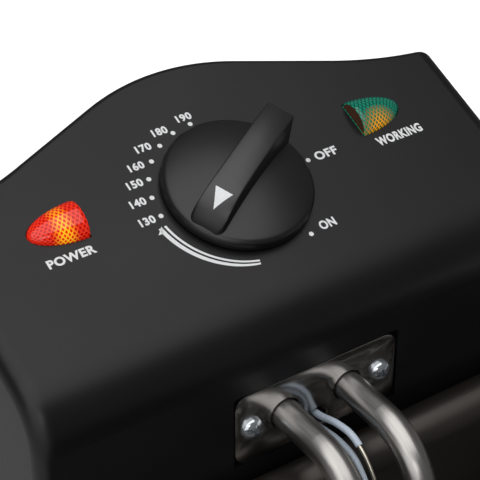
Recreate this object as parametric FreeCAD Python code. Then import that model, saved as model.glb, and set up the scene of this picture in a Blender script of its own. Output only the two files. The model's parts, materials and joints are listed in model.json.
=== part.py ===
import FreeCAD, Part
import math
import os
from FreeCAD import Placement, Rotation, Vector

# Countertop deep fryer with a lift-off control head: millimetres, +Z up, +Y to the rear.
# Pieces are drawn from the point where the knob axis meets the control panel,
# and are moved onto the table top, the plane z = 0, as they are written out.

# Control head: moulded shell with a sloping panel, a rounded nose and a bowed back
PANEL_SLOPE = 22.2
HEAD_WIDTH = 157.0
HEAD_FRONT = 36.8
HEAD_DROP = 118.0
HEAD_WALL = 2.5
NOSE_RADIUS = 18.0
SIDE_EDGE_RADIUS = 5.0
CROWN_REACH = 39.7
CROWN_RADIUS = 66.0
CROWN_TURN = 19.6
DIP_START = 48.0
DIP_RADIUS = 121.0
REAR_EDGE_RADIUS = 1.6
COVER_GAP = 0.3
BOSS_RADIUS = 5.0
BOSS_HEIGHT = 24.0
BOSS_FRONT_Y = -20.0
BOSS_REAR_Y = 8.0

# Indicator lenses: half an ellipse in outline, a quarter ellipsoid in form
LENS_FROM_SIDE = 22.2
LENS_CENTRE_Q = 6.9
LENS_LENGTH = 14.5
LENS_HALF_WIDTH = 5.5
LENS_RISE = 4.0
LENS_WALL = 1.2
LENS_LIP = 1.2
LENS_LIP_THICKNESS = 1.4
LENS_GAP = 0.25
LAMP_HOLDER_DEPTH = 14.0
NEON_RADIUS = 2.2

# Temperature knob and thermostat
KNOB_RADIUS = 20.0
KNOB_GAP = 0.7
KNOB_CROWN = 6.8
KNOB_DOME_RADIUS = 60.0
KNOB_SHOULDER = 2.0
KNOB_WALL = 2.2
KNOB_RECESS = 2.8
HUB_RADIUS = 6.5
POINTER_ANGLE = -149.5
GRIP_BACK = 19.6
GRIP_TIP = 19.4
GRIP_HEIGHT = 13.2
GRIP_TOP_WIDTH = 7.4
GRIP_FOOT_WIDTH = 10.2
GRIP_NOSE_RADIUS = 7.2
GRIP_EDGE_RADIUS = 0.8
SHAFT_RADIUS = 3.0
SHAFT_FLAT = 2.4
SHAFT_TOP = 10.5
SHAFT_FIT = 0.05
THERMOSTAT_RADIUS = 17.0
THERMOSTAT_DEPTH = 22.0
THERMOSTAT_PLATE = 2.0
PANEL_SCREW_REACH = 12.0
PANEL_SCREW_RADIUS = 2.0

# Heating element: one bent tube that leaves the head through a flange plate
TUBE_RADIUS = 4.0
TUBE_PITCH = 19.6
TUBE_BELOW_KNOB = 44.4
TUBE_INNER_END = 16.0
LEG_REACH = 68.8
EXIT_BEND = 17.3
FLOOR_BEND = 17.0
OUTER_RUN_X = 55.0
INNER_RUN_X = 17.0
FRONT_TURN_REACH = 266.0
REAR_TURN_REACH = 93.0
TUBE_ABOVE_FLOOR = 12.0
FLANGE_WIDTH = 50.0
FLANGE_HEIGHT = 22.0
FLANGE_CORNER = 4.0
FLANGE_THICKNESS = 1.2
FLANGE_SUNK = 0.2
FLANGE_GAP = 0.5
FLANGE_HOLE_GAP = 0.4
GASKET_THICKNESS = 0.8
FLANGE_PAD = 4.0
FLANGE_SCREW_PITCH = 40.0
FERRULE_RADIUS = 6.0
FERRULE_LENGTH = 5.0
BEAD_LENGTH = 4.0
STUD_RADIUS = 1.6
STUD_LENGTH = 10.0
CAPILLARY_HOLE_DROP = 6.4
CAPILLARY_HOLE_RADIUS = 3.2
BRACE_REACH = 150.0
BRACE_WIDTH = 12.0
BRACE_THICKNESS = 1.5
SEAT_GAP = 0.1

# Sensor lines: thin steel capillaries in insulating sleeves, each ending in a bulb
CAPILLARY_RADIUS = 0.5
THERMOSTAT_SLEEVE_RADIUS = 0.95
CUTOUT_SLEEVE_RADIUS = 0.8
SLEEVE_GAP = 0.1
BULB_RADIUS = 2.5
BULB_LENGTH = 72.0
BULB_X = 34.0
BULB_REACH = 112.0
CLIP_THICKNESS = 0.8
CLIP_WIDTH = 8.0
CLIP_TAB = 5.0

# Oil pan with a rolled rim that hangs on the casing's top edge
RIM_BELOW_KNOB = 57.0
RIM_RADIUS = 7.0
RIM_LIP = 4.0
RIM_TO_HEAD = 0.5
PAN_WIDTH = 190.0
PAN_LENGTH = 240.0
PAN_DEPTH = 130.0
PAN_CORNER = 30.0
PAN_FLOOR_RADIUS = 14.0
PAN_SHEET = 1.0
PAN_UNDER = 12.0

# Casing, base and feet
CASING_SHEET = 1.0
CASING_SEAT = 0.3
TRAY_FLOOR = 3.0
TRAY_UPSTAND = 12.0
TRAY_WALL = 2.0
TRAY_GAP = 0.3
VENT_LENGTH = 60.0
VENT_WIDTH = 5.0
VENT_PITCH = 14.0
VENT_COUNT = 7
FOOT_RADIUS = 10.0
FOOT_HEIGHT = 9.0
FOOT_INSET = 30.0
HANDLE_SPAN = 104.0
HANDLE_REACH = 30.0
HANDLE_HEIGHT = 30.0
HANDLE_THICKNESS = 5.0
HANDLE_BELOW_RIM = 39.0
HANDLE_SCREW_PITCH = 70.0

# Rear guide: a hat-section bracket that the head slides down over
GUIDE_WIDTH = 58.0
GUIDE_FLANGE = 12.0
GUIDE_SHEET = 1.5
GUIDE_BELOW_RIM = 19.0
GUIDE_GAP = 0.8
GUIDE_SEAT = 0.3
SLOT_DEPTH = 3.5
SLOT_WALL = 2.5
RIVET_RADIUS = 1.6

# Reset button of the overheat cut-out, and the mains cord gland, both at the back
CUTOUT_DROP = 46.0
CUTOUT_RADIUS = 11.0
CUTOUT_LENGTH = 24.0
NECK_RADIUS = 5.0
NUT_FLATS = 14.0
NUT_THICKNESS = 3.0
BUTTON_RADIUS = 3.5
BUTTON_FIT = 0.08
BUTTON_PROUD = 2.2
BUTTON_TRAVEL = 2.0
BUTTON_COLLAR = 1.1
GLAND_DROP = 98.0
GLAND_REACH = 8.6
GLAND_RADIUS = 6.5
GLAND_FLANGE_RADIUS = 9.0
GLAND_FLANGE_THICKNESS = 4.0
GLAND_BORE_RADIUS = 3.75
GLAND_THREAD = 10.0
GLAND_NUT_FLATS = 18.0
HOLE_GAP = 0.2
GLAND_SNOUT_WALL = 1.5

# Terminal block on the bottom cover, and the safety switch behind the guide slot
TERMINAL_COUNT = 3
TERMINAL_PITCH = 12.0
TERMINAL_DEPTH = 16.0
TERMINAL_HEIGHT = 14.0
TERMINAL_BORE_RADIUS = 2.4
TERMINAL_SCREW_RADIUS = 2.0
SWITCH_LENGTH = 28.0
SWITCH_DEPTH = 10.0
SWITCH_HEIGHT = 16.0
SWITCH_HOLE_RADIUS = 1.5

# Wire basket with a folding handle
BASKET_WIDTH = 168.0
BASKET_FRONT_REACH = 280.0
BASKET_REAR_REACH = 79.0
BASKET_BELOW_RIM = 10.0
BASKET_CORNER = 20.0
NET_THICKNESS = 1.5
NET_PITCH = 12.5
NET_WIRE = 2.2
RIM_WIRE_RADIUS = 2.25
BRACKET_SHEET = 1.5
BRACKET_WIDTH = 52.0
BRACKET_DEPTH = 40.0
EAR_THICKNESS = 2.0
EAR_RADIUS = 7.0
PIVOT_ABOVE_RIM = 10.0
PIVOT_INSET = 8.0
PIVOT_FIT = 0.1
HANDLE_WIRE_RADIUS = 2.5
HANDLE_WIRE_SPREAD = 17.0
HANDLE_WIRE_NECK = 8.0
HANDLE_RUN = 65.0
HANDLE_LIFT = 14.0
HANDLE_BEND = 7.0
GRIP_LENGTH = 116.0
GRIP_WIDTH = 28.0
GRIP_THICKNESS = 19.0
GRIP_WIRE_DEPTH = 46.0

# Screws
SCREW_RADIUS = 1.5
SCREW_HEAD_RADIUS = 3.2
SCREW_HEAD_HEIGHT = 2.1
SCREW_LENGTH = 8.0
SCREW_FIT = 0.05

# Levels and planes that follow from the sizes above
SLOPE = math.radians(PANEL_SLOPE)
LENS_INNER_X = HEAD_WIDTH / 2 - LENS_FROM_SIDE - LENS_LENGTH
FRONT_Y = -HEAD_FRONT
HEAD_FLOOR = -HEAD_DROP
RIM_TOP = -RIM_BELOW_KNOB
RIM_CENTRE_Z = RIM_TOP - RIM_RADIUS
PAN_FLOOR = RIM_TOP - PAN_DEPTH
TRAY_TOP = PAN_FLOOR - PAN_SHEET - PAN_UNDER
TRAY_BOTTOM = TRAY_TOP - TRAY_FLOOR
TABLE = TRAY_BOTTOM - FOOT_HEIGHT
RIM_REAR_Y = FRONT_Y - RIM_TO_HEAD - RIM_RADIUS
PAN_REAR_Y = RIM_REAR_Y - RIM_RADIUS
PAN_CENTRE_Y = PAN_REAR_Y - PAN_LENGTH / 2
CASING_HALF_X = PAN_WIDTH / 2 + RIM_RADIUS + CASING_SHEET / 2
CASING_HALF_Y = PAN_LENGTH / 2 + RIM_RADIUS + CASING_SHEET / 2
CASING_CORNER = PAN_CORNER + RIM_RADIUS + CASING_SHEET / 2
CASING_REAR_Y = PAN_CENTRE_Y + CASING_HALF_Y
CASING_TOP = RIM_TOP - PAN_SHEET - CASING_SEAT
TUBE_Z = -TUBE_BELOW_KNOB
ELEMENT_Z = PAN_FLOOR + TUBE_ABOVE_FLOOR + TUBE_RADIUS
BRACE_TOP = ELEMENT_Z - TUBE_RADIUS - SEAT_GAP
BULB_Z = BRACE_TOP + SEAT_GAP + BULB_RADIUS
RECESS_FLOOR_Y = FRONT_Y + FLANGE_SUNK + FLANGE_THICKNESS + GASKET_THICKNESS
FLANGE_FACE_Y = FRONT_Y + FLANGE_SUNK
SLOT_TOP = RIM_TOP - GUIDE_BELOW_RIM
SLOT_FRONT_Y = FRONT_Y + HEAD_WALL
SLOT_BACK_Y = SLOT_FRONT_Y + SLOT_DEPTH
SLOT_HALF = GUIDE_WIDTH / 2 + GUIDE_FLANGE + GUIDE_GAP
SLOT_BLOCK_HALF = SLOT_HALF + SLOT_WALL
SLOT_BLOCK_Y = SLOT_BACK_Y + SLOT_WALL
BASKET_BOTTOM = ELEMENT_Z + TUBE_RADIUS + CASING_SEAT
BASKET_TOP = RIM_TOP - BASKET_BELOW_RIM
BASKET_CENTRE_Y = -(BASKET_FRONT_REACH + BASKET_REAR_REACH) / 2
BASKET_HALF_X = BASKET_WIDTH / 2
BASKET_HALF_Y = (BASKET_FRONT_REACH - BASKET_REAR_REACH) / 2
PIVOT_Y = -BASKET_FRONT_REACH + PIVOT_INSET
PIVOT_Z = RIM_TOP + PIVOT_ABOVE_RIM
GRIP_END_Y = PIVOT_Y - HANDLE_RUN - GRIP_LENGTH
GLAND_END_Y = CROWN_REACH + GLAND_REACH
KNOB_TILT = math.asin((KNOB_RADIUS - KNOB_SHOULDER) / (KNOB_DOME_RADIUS - KNOB_SHOULDER))
KNOB_DOME_Z = KNOB_CROWN - KNOB_DOME_RADIUS
KNOB_RIM_Z = KNOB_DOME_Z + (KNOB_DOME_RADIUS - KNOB_SHOULDER) * math.cos(KNOB_TILT)
KNOB_HEIGHT = -TABLE
KNOB_Y = -(GRIP_END_Y + GLAND_END_Y) / 2
PANEL = Placement(Vector(0, 0, 0), Rotation(Vector(1, 0, 0), PANEL_SLOPE))
SIDES = (-1, 1)


# Drawing helpers
def straight(start, end):
    return Part.LineSegment(start, end).toShape()


def arc(start, middle, end):
    return Part.Arc(start, middle, end).toShape()


def placed(shape, placement):
    moved = shape.copy()
    moved.Placement = placement.multiply(moved.Placement)
    return moved


def mirrored(shape):
    return shape.mirror(Vector(0, 0, 0), Vector(1, 0, 0))


def block(x_range, y_range, z_range):
    corner = Vector(x_range[0], y_range[0], z_range[0])
    sizes = [high - low for low, high in (x_range, y_range, z_range)]
    return Part.makeBox(sizes[0], sizes[1], sizes[2], corner)


def rod(radius, start, end):
    return Part.makeCylinder(radius, start.distanceToPoint(end), start, end - start)


def rounded_rectangle(half_x, half_y, corner, z=0.0, centre_y=0.0):
    edges = []
    turn = math.sqrt(0.5) * corner
    quarters = ((1, 1), (-1, 1), (-1, -1), (1, -1))
    previous = Vector(half_x, centre_y - half_y + corner, z)
    for sign_x, sign_y in quarters:
        pivot = Vector(sign_x * (half_x - corner), centre_y + sign_y * (half_y - corner), z)
        along_x = pivot + Vector(sign_x * corner, 0, 0)
        along_y = pivot + Vector(0, sign_y * corner, 0)
        middle = pivot + Vector(sign_x * turn, sign_y * turn, 0)
        first, last = (along_x, along_y) if sign_x == sign_y else (along_y, along_x)
        edges.append(straight(previous, first))
        edges.append(arc(first, middle, last))
        previous = last
    return Part.Wire(edges)


def prism(wire, direction):
    return Part.Face(wire).extrude(direction)


def polygon(points):
    return Part.makePolygon(points + points[:1])


def bent_path(points, radii):
    """Straight runs joined by tangent arcs, one radius for each inner point."""
    edges = []
    start = points[0]
    for before, corner, after, radius in zip(points, points[1:], points[2:], radii):
        incoming = (corner - before) / before.distanceToPoint(corner)
        outgoing = (after - corner) / corner.distanceToPoint(after)
        half_turn = incoming.getAngle(outgoing) / 2
        reach = radius * math.tan(half_turn)
        inward = (outgoing - incoming) / (outgoing - incoming).Length
        middle = corner + inward * (radius / math.cos(half_turn) - radius)
        arc_start = corner - incoming * reach
        arc_end = corner + outgoing * reach
        if start.distanceToPoint(arc_start) > SEAT_GAP:
            edges.append(straight(start, arc_start))
            start = arc_start
        edges.append(arc(start, middle, arc_end))
        start = arc_end
    edges.append(straight(start, points[-1]))
    return edges


def easy_radii(points):
    """The largest bends that leave a short straight stretch in every run."""
    share = 0.45
    radii = []
    for before, corner, after in zip(points, points[1:], points[2:]):
        run = min(before.distanceToPoint(corner), corner.distanceToPoint(after))
        half_turn = (corner - before).getAngle(after - corner) / 2
        radii.append(share * run / math.tan(half_turn))
    return radii


def swept(edges, radius):
    first = edges[0]
    start = first.valueAt(first.FirstParameter)
    ring = Part.Wire(Part.makeCircle(radius, start, first.tangentAt(first.FirstParameter)))
    return Part.Wire(edges).makePipeShell([ring], True, False)


def screw(seat, inward, length=SCREW_LENGTH, radius=SCREW_RADIUS, head_radius=SCREW_HEAD_RADIUS):
    """Pan-head screw or rivet with its head standing on the seat."""
    direction = inward / inward.Length
    shank = rod(radius, seat, seat + direction * length)
    shoulder = SCREW_HEAD_HEIGHT / 2
    dome_seat = seat - direction * shoulder
    base = rod(head_radius, dome_seat, seat)
    dome = Part.makeCone(head_radius, head_radius - shoulder, shoulder, dome_seat, -direction)
    return base.fuse([dome, shank])


def hexagon(flats, centre, direction, thickness):
    radius = flats / math.sqrt(3)
    turns = [corner * math.pi / 3 for corner in range(6)]
    corners = [Vector(radius * math.cos(turn), radius * math.sin(turn), 0) for turn in turns]
    nut = prism(polygon(corners), Vector(0, 0, thickness))
    return placed(nut, Placement(centre, Rotation(Vector(0, 0, 1), direction)))


PIECES = {}


def write(name, *solids):
    PIECES[name] = solids[0] if len(solids) == 1 else Part.makeCompound(solids)


# Control head shell
def head_solid(inset, floor):
    """The head's outer form, or its hollow when moved inward by the wall."""
    front = FRONT_Y + inset
    half = HEAD_WIDTH / 2 - inset
    fall = inset / math.cos(SLOPE)
    nose = NOSE_RADIUS - inset
    corner_z = front * math.tan(SLOPE) - fall
    setback = nose / math.tan((math.pi / 2 + SLOPE) / 2)
    rear = CROWN_REACH + HEAD_WALL
    low_tangent = Vector(-half, front, corner_z - setback)
    high_tangent = Vector(-half, front + setback * math.cos(SLOPE), corner_z + setback * math.sin(SLOPE))
    nose_centre = low_tangent + Vector(0, nose, 0)
    towards_corner = Vector(-half, front, corner_z) - nose_centre
    nose_middle = nose_centre + towards_corner * (nose / towards_corner.Length)
    panel_end = Vector(-half, rear, rear * math.tan(SLOPE) - fall)
    foot_front = Vector(-half, front, floor)
    foot_rear = Vector(-half, rear, floor)
    profile = Part.Wire([
        straight(foot_front, low_tangent),
        arc(low_tangent, nose_middle, high_tangent),
        straight(high_tangent, panel_end),
        straight(panel_end, foot_rear),
        straight(foot_rear, foot_front),
    ])
    side = prism(profile, Vector(2 * half, 0, 0))
    plan = prism(head_plan(inset, floor), Vector(0, 0, panel_end.z - floor + HEAD_WALL))
    return side.common(plan)


def head_plan(inset, z):
    """Outline from above: square front, and a back that bows out to a crown with a dip on each side."""
    front = FRONT_Y + inset
    half = HEAD_WIDTH / 2 - inset
    turn = math.radians(CROWN_TURN)
    crown_y = CROWN_REACH - CROWN_RADIUS
    flank_x = CROWN_RADIUS * math.sin(turn)
    flank_y = crown_y + CROWN_RADIUS * math.cos(turn)
    dip_x = DIP_START + DIP_RADIUS * math.sin(turn)
    dip_y = flank_y - (DIP_START - flank_x) * math.tan(turn) + DIP_RADIUS * math.cos(turn)
    crown = CROWN_RADIUS - inset
    dip = DIP_RADIUS + inset
    last = math.asin((dip_x - half) / dip)
    middle = (turn + last) / 2

    def on_crown(angle):
        return Vector(crown * math.sin(angle), crown_y + crown * math.cos(angle), z)

    def on_dip(side, angle):
        return Vector(side * (dip_x - dip * math.sin(angle)), dip_y - dip * math.cos(angle), z)

    return Part.Wire([
        straight(Vector(-half, front, z), Vector(half, front, z)),
        straight(Vector(half, front, z), on_dip(1, last)),
        arc(on_dip(1, last), on_dip(1, middle), on_dip(1, turn)),
        straight(on_dip(1, turn), on_crown(turn)),
        arc(on_crown(turn), on_crown(0), on_crown(-turn)),
        straight(on_crown(-turn), on_dip(-1, turn)),
        arc(on_dip(-1, turn), on_dip(-1, middle), on_dip(-1, last)),
        straight(on_dip(-1, last), Vector(-half, front, z)),
    ])


def rounded_head():
    """Outer form with rounded sides; the rear corners' rounding runs on along the rear edge."""
    head = head_solid(0.0, HEAD_FLOOR)
    half = HEAD_WIDTH / 2
    tiny = 1e-3

    def on_side(edge):
        bounds = edge.BoundBox
        return bounds.XLength < tiny and abs(abs(bounds.Center.x) - half) < tiny

    def upright(edge):
        return edge.BoundBox.XLength < tiny and edge.BoundBox.YLength < tiny

    sides = [e for e in head.Edges if on_side(e) and e.BoundBox.ZLength > tiny]
    corners = [e for e in sides if upright(e) and e.BoundBox.Center.y > 0]
    chain = [e for e in sides if not any(e.isSame(corner) for corner in corners)]
    head = head.makeFillet(SIDE_EDGE_RADIUS, chain)
    corners = [e for e in head.Edges if on_side(e) and upright(e) and e.BoundBox.Center.y > 0]
    return head.makeFillet(REAR_EDGE_RADIUS, corners)


def half_ellipse(grow, side):
    """Outline of a lens in panel coordinates, straight on the knob's side."""
    long_half = LENS_LENGTH + grow
    inner = -grow
    ellipse = Part.Ellipse(Vector(0, 0, 0), long_half, LENS_HALF_WIDTH + grow)
    start_angle = math.acos(inner / long_half)
    arc = Part.ArcOfEllipse(ellipse, -start_angle, start_angle).toShape()
    ends = [vertex.Point for vertex in arc.Vertexes]
    outline = Part.Wire([arc, straight(ends[-1], ends[0])])
    outline.translate(Vector(LENS_INNER_X, LENS_CENTRE_Q, 0))
    return outline if side > 0 else mirrored(outline)


def panel_prism(outline, low, high):
    lifted = outline.copy()
    lifted.translate(Vector(0, 0, low))
    return placed(prism(lifted, Vector(0, 0, high - low)), PANEL)


def boss_places():
    reach = HEAD_WIDTH / 2 - HEAD_WALL - BOSS_RADIUS
    return [Vector(side * reach, y, HEAD_FLOOR) for side in SIDES for y in (BOSS_FRONT_Y, BOSS_REAR_Y)]


def flange_centre(y):
    return Vector(0, y, TUBE_Z)


def upright_plate(width, height, corner, y_front, thickness):
    """Rounded plate standing across the head's front face."""
    outline = rounded_rectangle(width / 2, height / 2, corner)
    plate = prism(outline, Vector(0, 0, thickness))
    stand = Placement(flange_centre(y_front + thickness), Rotation(Vector(1, 0, 0), 90))
    return placed(plate, stand)


def element_holes(y_front, y_back, gap):
    """Holes for the two tubes, the two flange screws and the sensor lines."""
    spots = [(side * TUBE_PITCH / 2, 0, TUBE_RADIUS + gap) for side in SIDES]
    spots += [(side * FLANGE_SCREW_PITCH / 2, 0, SCREW_RADIUS + SCREW_FIT) for side in SIDES]
    spots.append((0, -CAPILLARY_HOLE_DROP, CAPILLARY_HOLE_RADIUS))
    return [rod(r, Vector(x, y_front, TUBE_Z + z), Vector(x, y_back, TUBE_Z + z)) for x, z, r in spots]


def head_shell():
    shell = rounded_head().cut(head_solid(HEAD_WALL, HEAD_FLOOR - HEAD_WALL))
    inner_half = HEAD_WIDTH / 2 - HEAD_WALL
    boss_low = HEAD_FLOOR + HEAD_WALL
    additions = []
    for place in boss_places():
        foot = Vector(place.x, place.y, boss_low)
        boss = rod(BOSS_RADIUS, foot, foot + Vector(0, 0, BOSS_HEIGHT))
        side = 1 if place.x > 0 else -1
        web_x = sorted((place.x, side * (inner_half + HEAD_WALL / 2)))
        web_y = (place.y - HEAD_WALL / 2, place.y + HEAD_WALL / 2)
        additions.append(boss.fuse(block(web_x, web_y, (boss_low, boss_low + BOSS_HEIGHT))))
    additions.append(block((-SLOT_BLOCK_HALF, SLOT_BLOCK_HALF), (SLOT_FRONT_Y - HEAD_WALL / 2, SLOT_BLOCK_Y),
                           (HEAD_FLOOR, SLOT_TOP + SLOT_WALL)))
    pad_margin = FLANGE_GAP + HEAD_WALL
    pad_width = FLANGE_WIDTH + 2 * pad_margin
    pad_height = FLANGE_HEIGHT + 2 * pad_margin
    additions.append(upright_plate(pad_width, pad_height, FLANGE_CORNER,
                                   FRONT_Y + HEAD_WALL / 2, HEAD_WALL / 2 + FLANGE_PAD))
    shell = shell.fuse(additions).removeSplitter()
    pad_back = FRONT_Y + HEAD_WALL + FLANGE_PAD
    outside = HEAD_WALL
    cuts = [upright_plate(FLANGE_WIDTH + 2 * FLANGE_GAP, FLANGE_HEIGHT + 2 * FLANGE_GAP, FLANGE_GAP,
                          FRONT_Y - outside, outside + RECESS_FLOOR_Y - FRONT_Y)]
    cuts += element_holes(FRONT_Y - outside, pad_back + outside, FLANGE_HOLE_GAP)
    mouth_half = GUIDE_WIDTH / 2 + GUIDE_GAP
    slot_floor = HEAD_FLOOR - outside
    cuts.append(block((-mouth_half, mouth_half), (FRONT_Y - outside, SLOT_BACK_Y), (slot_floor, SLOT_TOP)))
    cuts.append(block((-SLOT_HALF, SLOT_HALF), (SLOT_FRONT_Y, SLOT_BACK_Y), (slot_floor, SLOT_TOP)))
    for side in SIDES:
        cuts.append(panel_prism(half_ellipse(LENS_GAP, side), -2 * HEAD_WALL, HEAD_WALL))
    panel_holes = [(side * PANEL_SCREW_REACH, PANEL_SCREW_RADIUS + SCREW_FIT) for side in SIDES]
    for x, radius in panel_holes + [(0, HUB_RADIUS)]:
        cuts.append(placed(rod(radius, Vector(x, 0, -2 * HEAD_WALL), Vector(x, 0, HEAD_WALL)), PANEL))
    for drop, radius in ((CUTOUT_DROP, NECK_RADIUS), (GLAND_DROP, GLAND_RADIUS)):
        start = Vector(0, CROWN_REACH - 2 * HEAD_WALL, -drop)
        cuts.append(rod(radius + HOLE_GAP, start, start + Vector(0, 3 * HEAD_WALL, 0)))
    for place in boss_places():
        cuts.append(rod(SCREW_RADIUS + SCREW_FIT, place, place + Vector(0, 0, BOSS_HEIGHT)))
    return shell.cut(cuts)


def head_bottom_cover():
    inset = HEAD_WALL + COVER_GAP
    plate = prism(head_plan(inset, HEAD_FLOOR), Vector(0, 0, HEAD_WALL))
    notch_half = SLOT_BLOCK_HALF + COVER_GAP
    notch = block((-notch_half, notch_half), (FRONT_Y, SLOT_BLOCK_Y + COVER_GAP),
                  (HEAD_FLOOR - HEAD_WALL, HEAD_FLOOR + 2 * HEAD_WALL))
    holes = [rod(SCREW_RADIUS + SCREW_FIT, p - Vector(0, 0, HEAD_WALL), p + Vector(0, 0, 2 * HEAD_WALL))
             for p in boss_places()]
    return plate.cut([notch] + holes)


write("head_shell", head_shell())
write("head_bottom_cover", head_bottom_cover())
write("cover_screws", *[screw(place, Vector(0, 0, 1)) for place in boss_places()])


# Indicator lenses, their holders and neon lamps
def lens_dome(shrink):
    """Quarter ellipsoid above the panel, cut off square on the knob's side."""
    unit = Part.makeSphere(1.0).common(block((0, 2), (-2, 2), (0, 2)))
    stretch = FreeCAD.Matrix()
    stretch.scale(LENS_LENGTH - shrink, LENS_HALF_WIDTH - shrink, LENS_RISE - shrink)
    dome = unit.transformGeometry(stretch)
    dome.translate(Vector(LENS_INNER_X + shrink / 2, LENS_CENTRE_Q, 0))
    return dome


def lens(side):
    under = -HEAD_WALL - LENS_LIP_THICKNESS
    skirt = panel_prism(half_ellipse(0, 1), under, 0)
    lip = panel_prism(half_ellipse(LENS_LIP, 1), under, -HEAD_WALL)
    outer = placed(lens_dome(0.0), PANEL).fuse([skirt, lip])
    hollow = placed(lens_dome(LENS_WALL), PANEL)
    bore = panel_prism(half_ellipse(-LENS_WALL, 1), under - LENS_WALL, 0)
    shaped = outer.removeSplitter().cut([hollow, bore])
    return shaped if side > 0 else mirrored(shaped)


def lamp_parts(side):
    """Holder clipped under the lens, with a neon tube lying in the lens hollow."""
    top = -HEAD_WALL - LENS_LIP_THICKNESS
    holder = panel_prism(half_ellipse(LENS_LIP, 1), top - LAMP_HOLDER_DEPTH, top)
    neon_axis = top + NEON_RADIUS
    inner_end = Vector(LENS_INNER_X + LENS_WALL + SEAT_GAP, LENS_CENTRE_Q, neon_axis)
    outer_end = inner_end + Vector(LENS_LENGTH / 2, 0, 0)
    neon = placed(rod(NEON_RADIUS, inner_end, outer_end), PANEL)
    return (holder, neon) if side > 0 else (mirrored(holder), mirrored(neon))


write("power_lens", lens(-1))
write("working_lens", lens(1))
write("lamp_holders", *[lamp_parts(side)[0] for side in SIDES])
write("neon_lamps", *[lamp_parts(side)[1] for side in SIDES])


# Temperature knob on the thermostat's flatted shaft
def knob_grip():
    """Finger bar: tapered section, square back end, and a nose that rounds down to the pointer."""
    nose_start = GRIP_TIP - GRIP_NOSE_RADIUS
    nose_z = GRIP_HEIGHT - GRIP_NOSE_RADIUS
    turn = math.sqrt(0.5) * GRIP_NOSE_RADIUS
    top_back = Vector(-GRIP_BACK, 0, GRIP_HEIGHT)
    top_front = Vector(nose_start, 0, GRIP_HEIGHT)
    nose_middle = Vector(nose_start + turn, 0, nose_z + turn)
    nose_end = Vector(GRIP_TIP, 0, nose_z)
    foot_front = Vector(GRIP_TIP, 0, KNOB_RIM_Z)
    foot_back = Vector(-GRIP_BACK, 0, KNOB_RIM_Z)
    side_view = Part.Wire([
        straight(foot_back, top_back),
        straight(top_back, top_front),
        arc(top_front, nose_middle, nose_end),
        straight(nose_end, foot_front),
        straight(foot_front, foot_back),
    ])
    bar = prism(side_view, Vector(0, GRIP_FOOT_WIDTH, 0))
    bar.translate(Vector(0, -GRIP_FOOT_WIDTH / 2, 0))
    low, high = KNOB_GAP, GRIP_HEIGHT + GRIP_EDGE_RADIUS
    section = polygon([Vector(-2 * GRIP_BACK, side_width, z) for side_width, z in (
        (-GRIP_FOOT_WIDTH / 2, low), (GRIP_FOOT_WIDTH / 2, low),
        (GRIP_TOP_WIDTH / 2, high), (-GRIP_TOP_WIDTH / 2, high))])
    tapered = bar.common(prism(section, Vector(2 * (GRIP_BACK + GRIP_TIP), 0, 0)))
    return tapered.makeFillet(GRIP_EDGE_RADIUS, tapered.Edges)


def flatted_shaft(radius, flat, low, high):
    shaft = rod(radius, Vector(0, 0, low), Vector(0, 0, high))
    return shaft.cut(block((flat, 2 * radius), (-radius, radius), (low, high)))


def knob():
    """Domed disc whose rounded rim runs smoothly into the dome, with the finger bar across it."""
    foot = Vector(0, 0, KNOB_GAP)
    rim_low = Vector(KNOB_RADIUS, 0, KNOB_GAP)
    rim_middle = (math.pi / 2 + KNOB_TILT) / 2

    def on_rim(angle):
        reach = KNOB_RADIUS - KNOB_SHOULDER + KNOB_SHOULDER * math.sin(angle)
        return Vector(reach, 0, KNOB_RIM_Z + KNOB_SHOULDER * math.cos(angle))

    def on_dome(angle):
        return Vector(KNOB_DOME_RADIUS * math.sin(angle), 0, KNOB_DOME_Z + KNOB_DOME_RADIUS * math.cos(angle))

    outline = Part.Wire([
        straight(foot, rim_low),
        straight(rim_low, on_rim(math.pi / 2)),
        arc(on_rim(math.pi / 2), on_rim(rim_middle), on_rim(KNOB_TILT)),
        arc(on_dome(KNOB_TILT), on_dome(KNOB_TILT / 2), on_dome(0)),
        straight(on_dome(0), foot),
    ])
    disc = Part.Face(outline).revolve(Vector(0, 0, 0), Vector(0, 0, 1), 360)
    body = disc.fuse(knob_grip())
    recess = rod(KNOB_RADIUS - KNOB_WALL, Vector(0, 0, 0), Vector(0, 0, KNOB_RECESS))
    recess = recess.cut(rod(HUB_RADIUS - SHAFT_FIT, Vector(0, 0, 0), Vector(0, 0, KNOB_RECESS)))
    bore = flatted_shaft(SHAFT_RADIUS + SHAFT_FIT, SHAFT_FLAT + SHAFT_FIT, 0, SHAFT_TOP + SHAFT_FIT)
    turned = Placement(Vector(0, 0, 0), Rotation(Vector(0, 0, 1), POINTER_ANGLE))
    return placed(placed(body.cut([recess, bore]), turned), PANEL)


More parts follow.
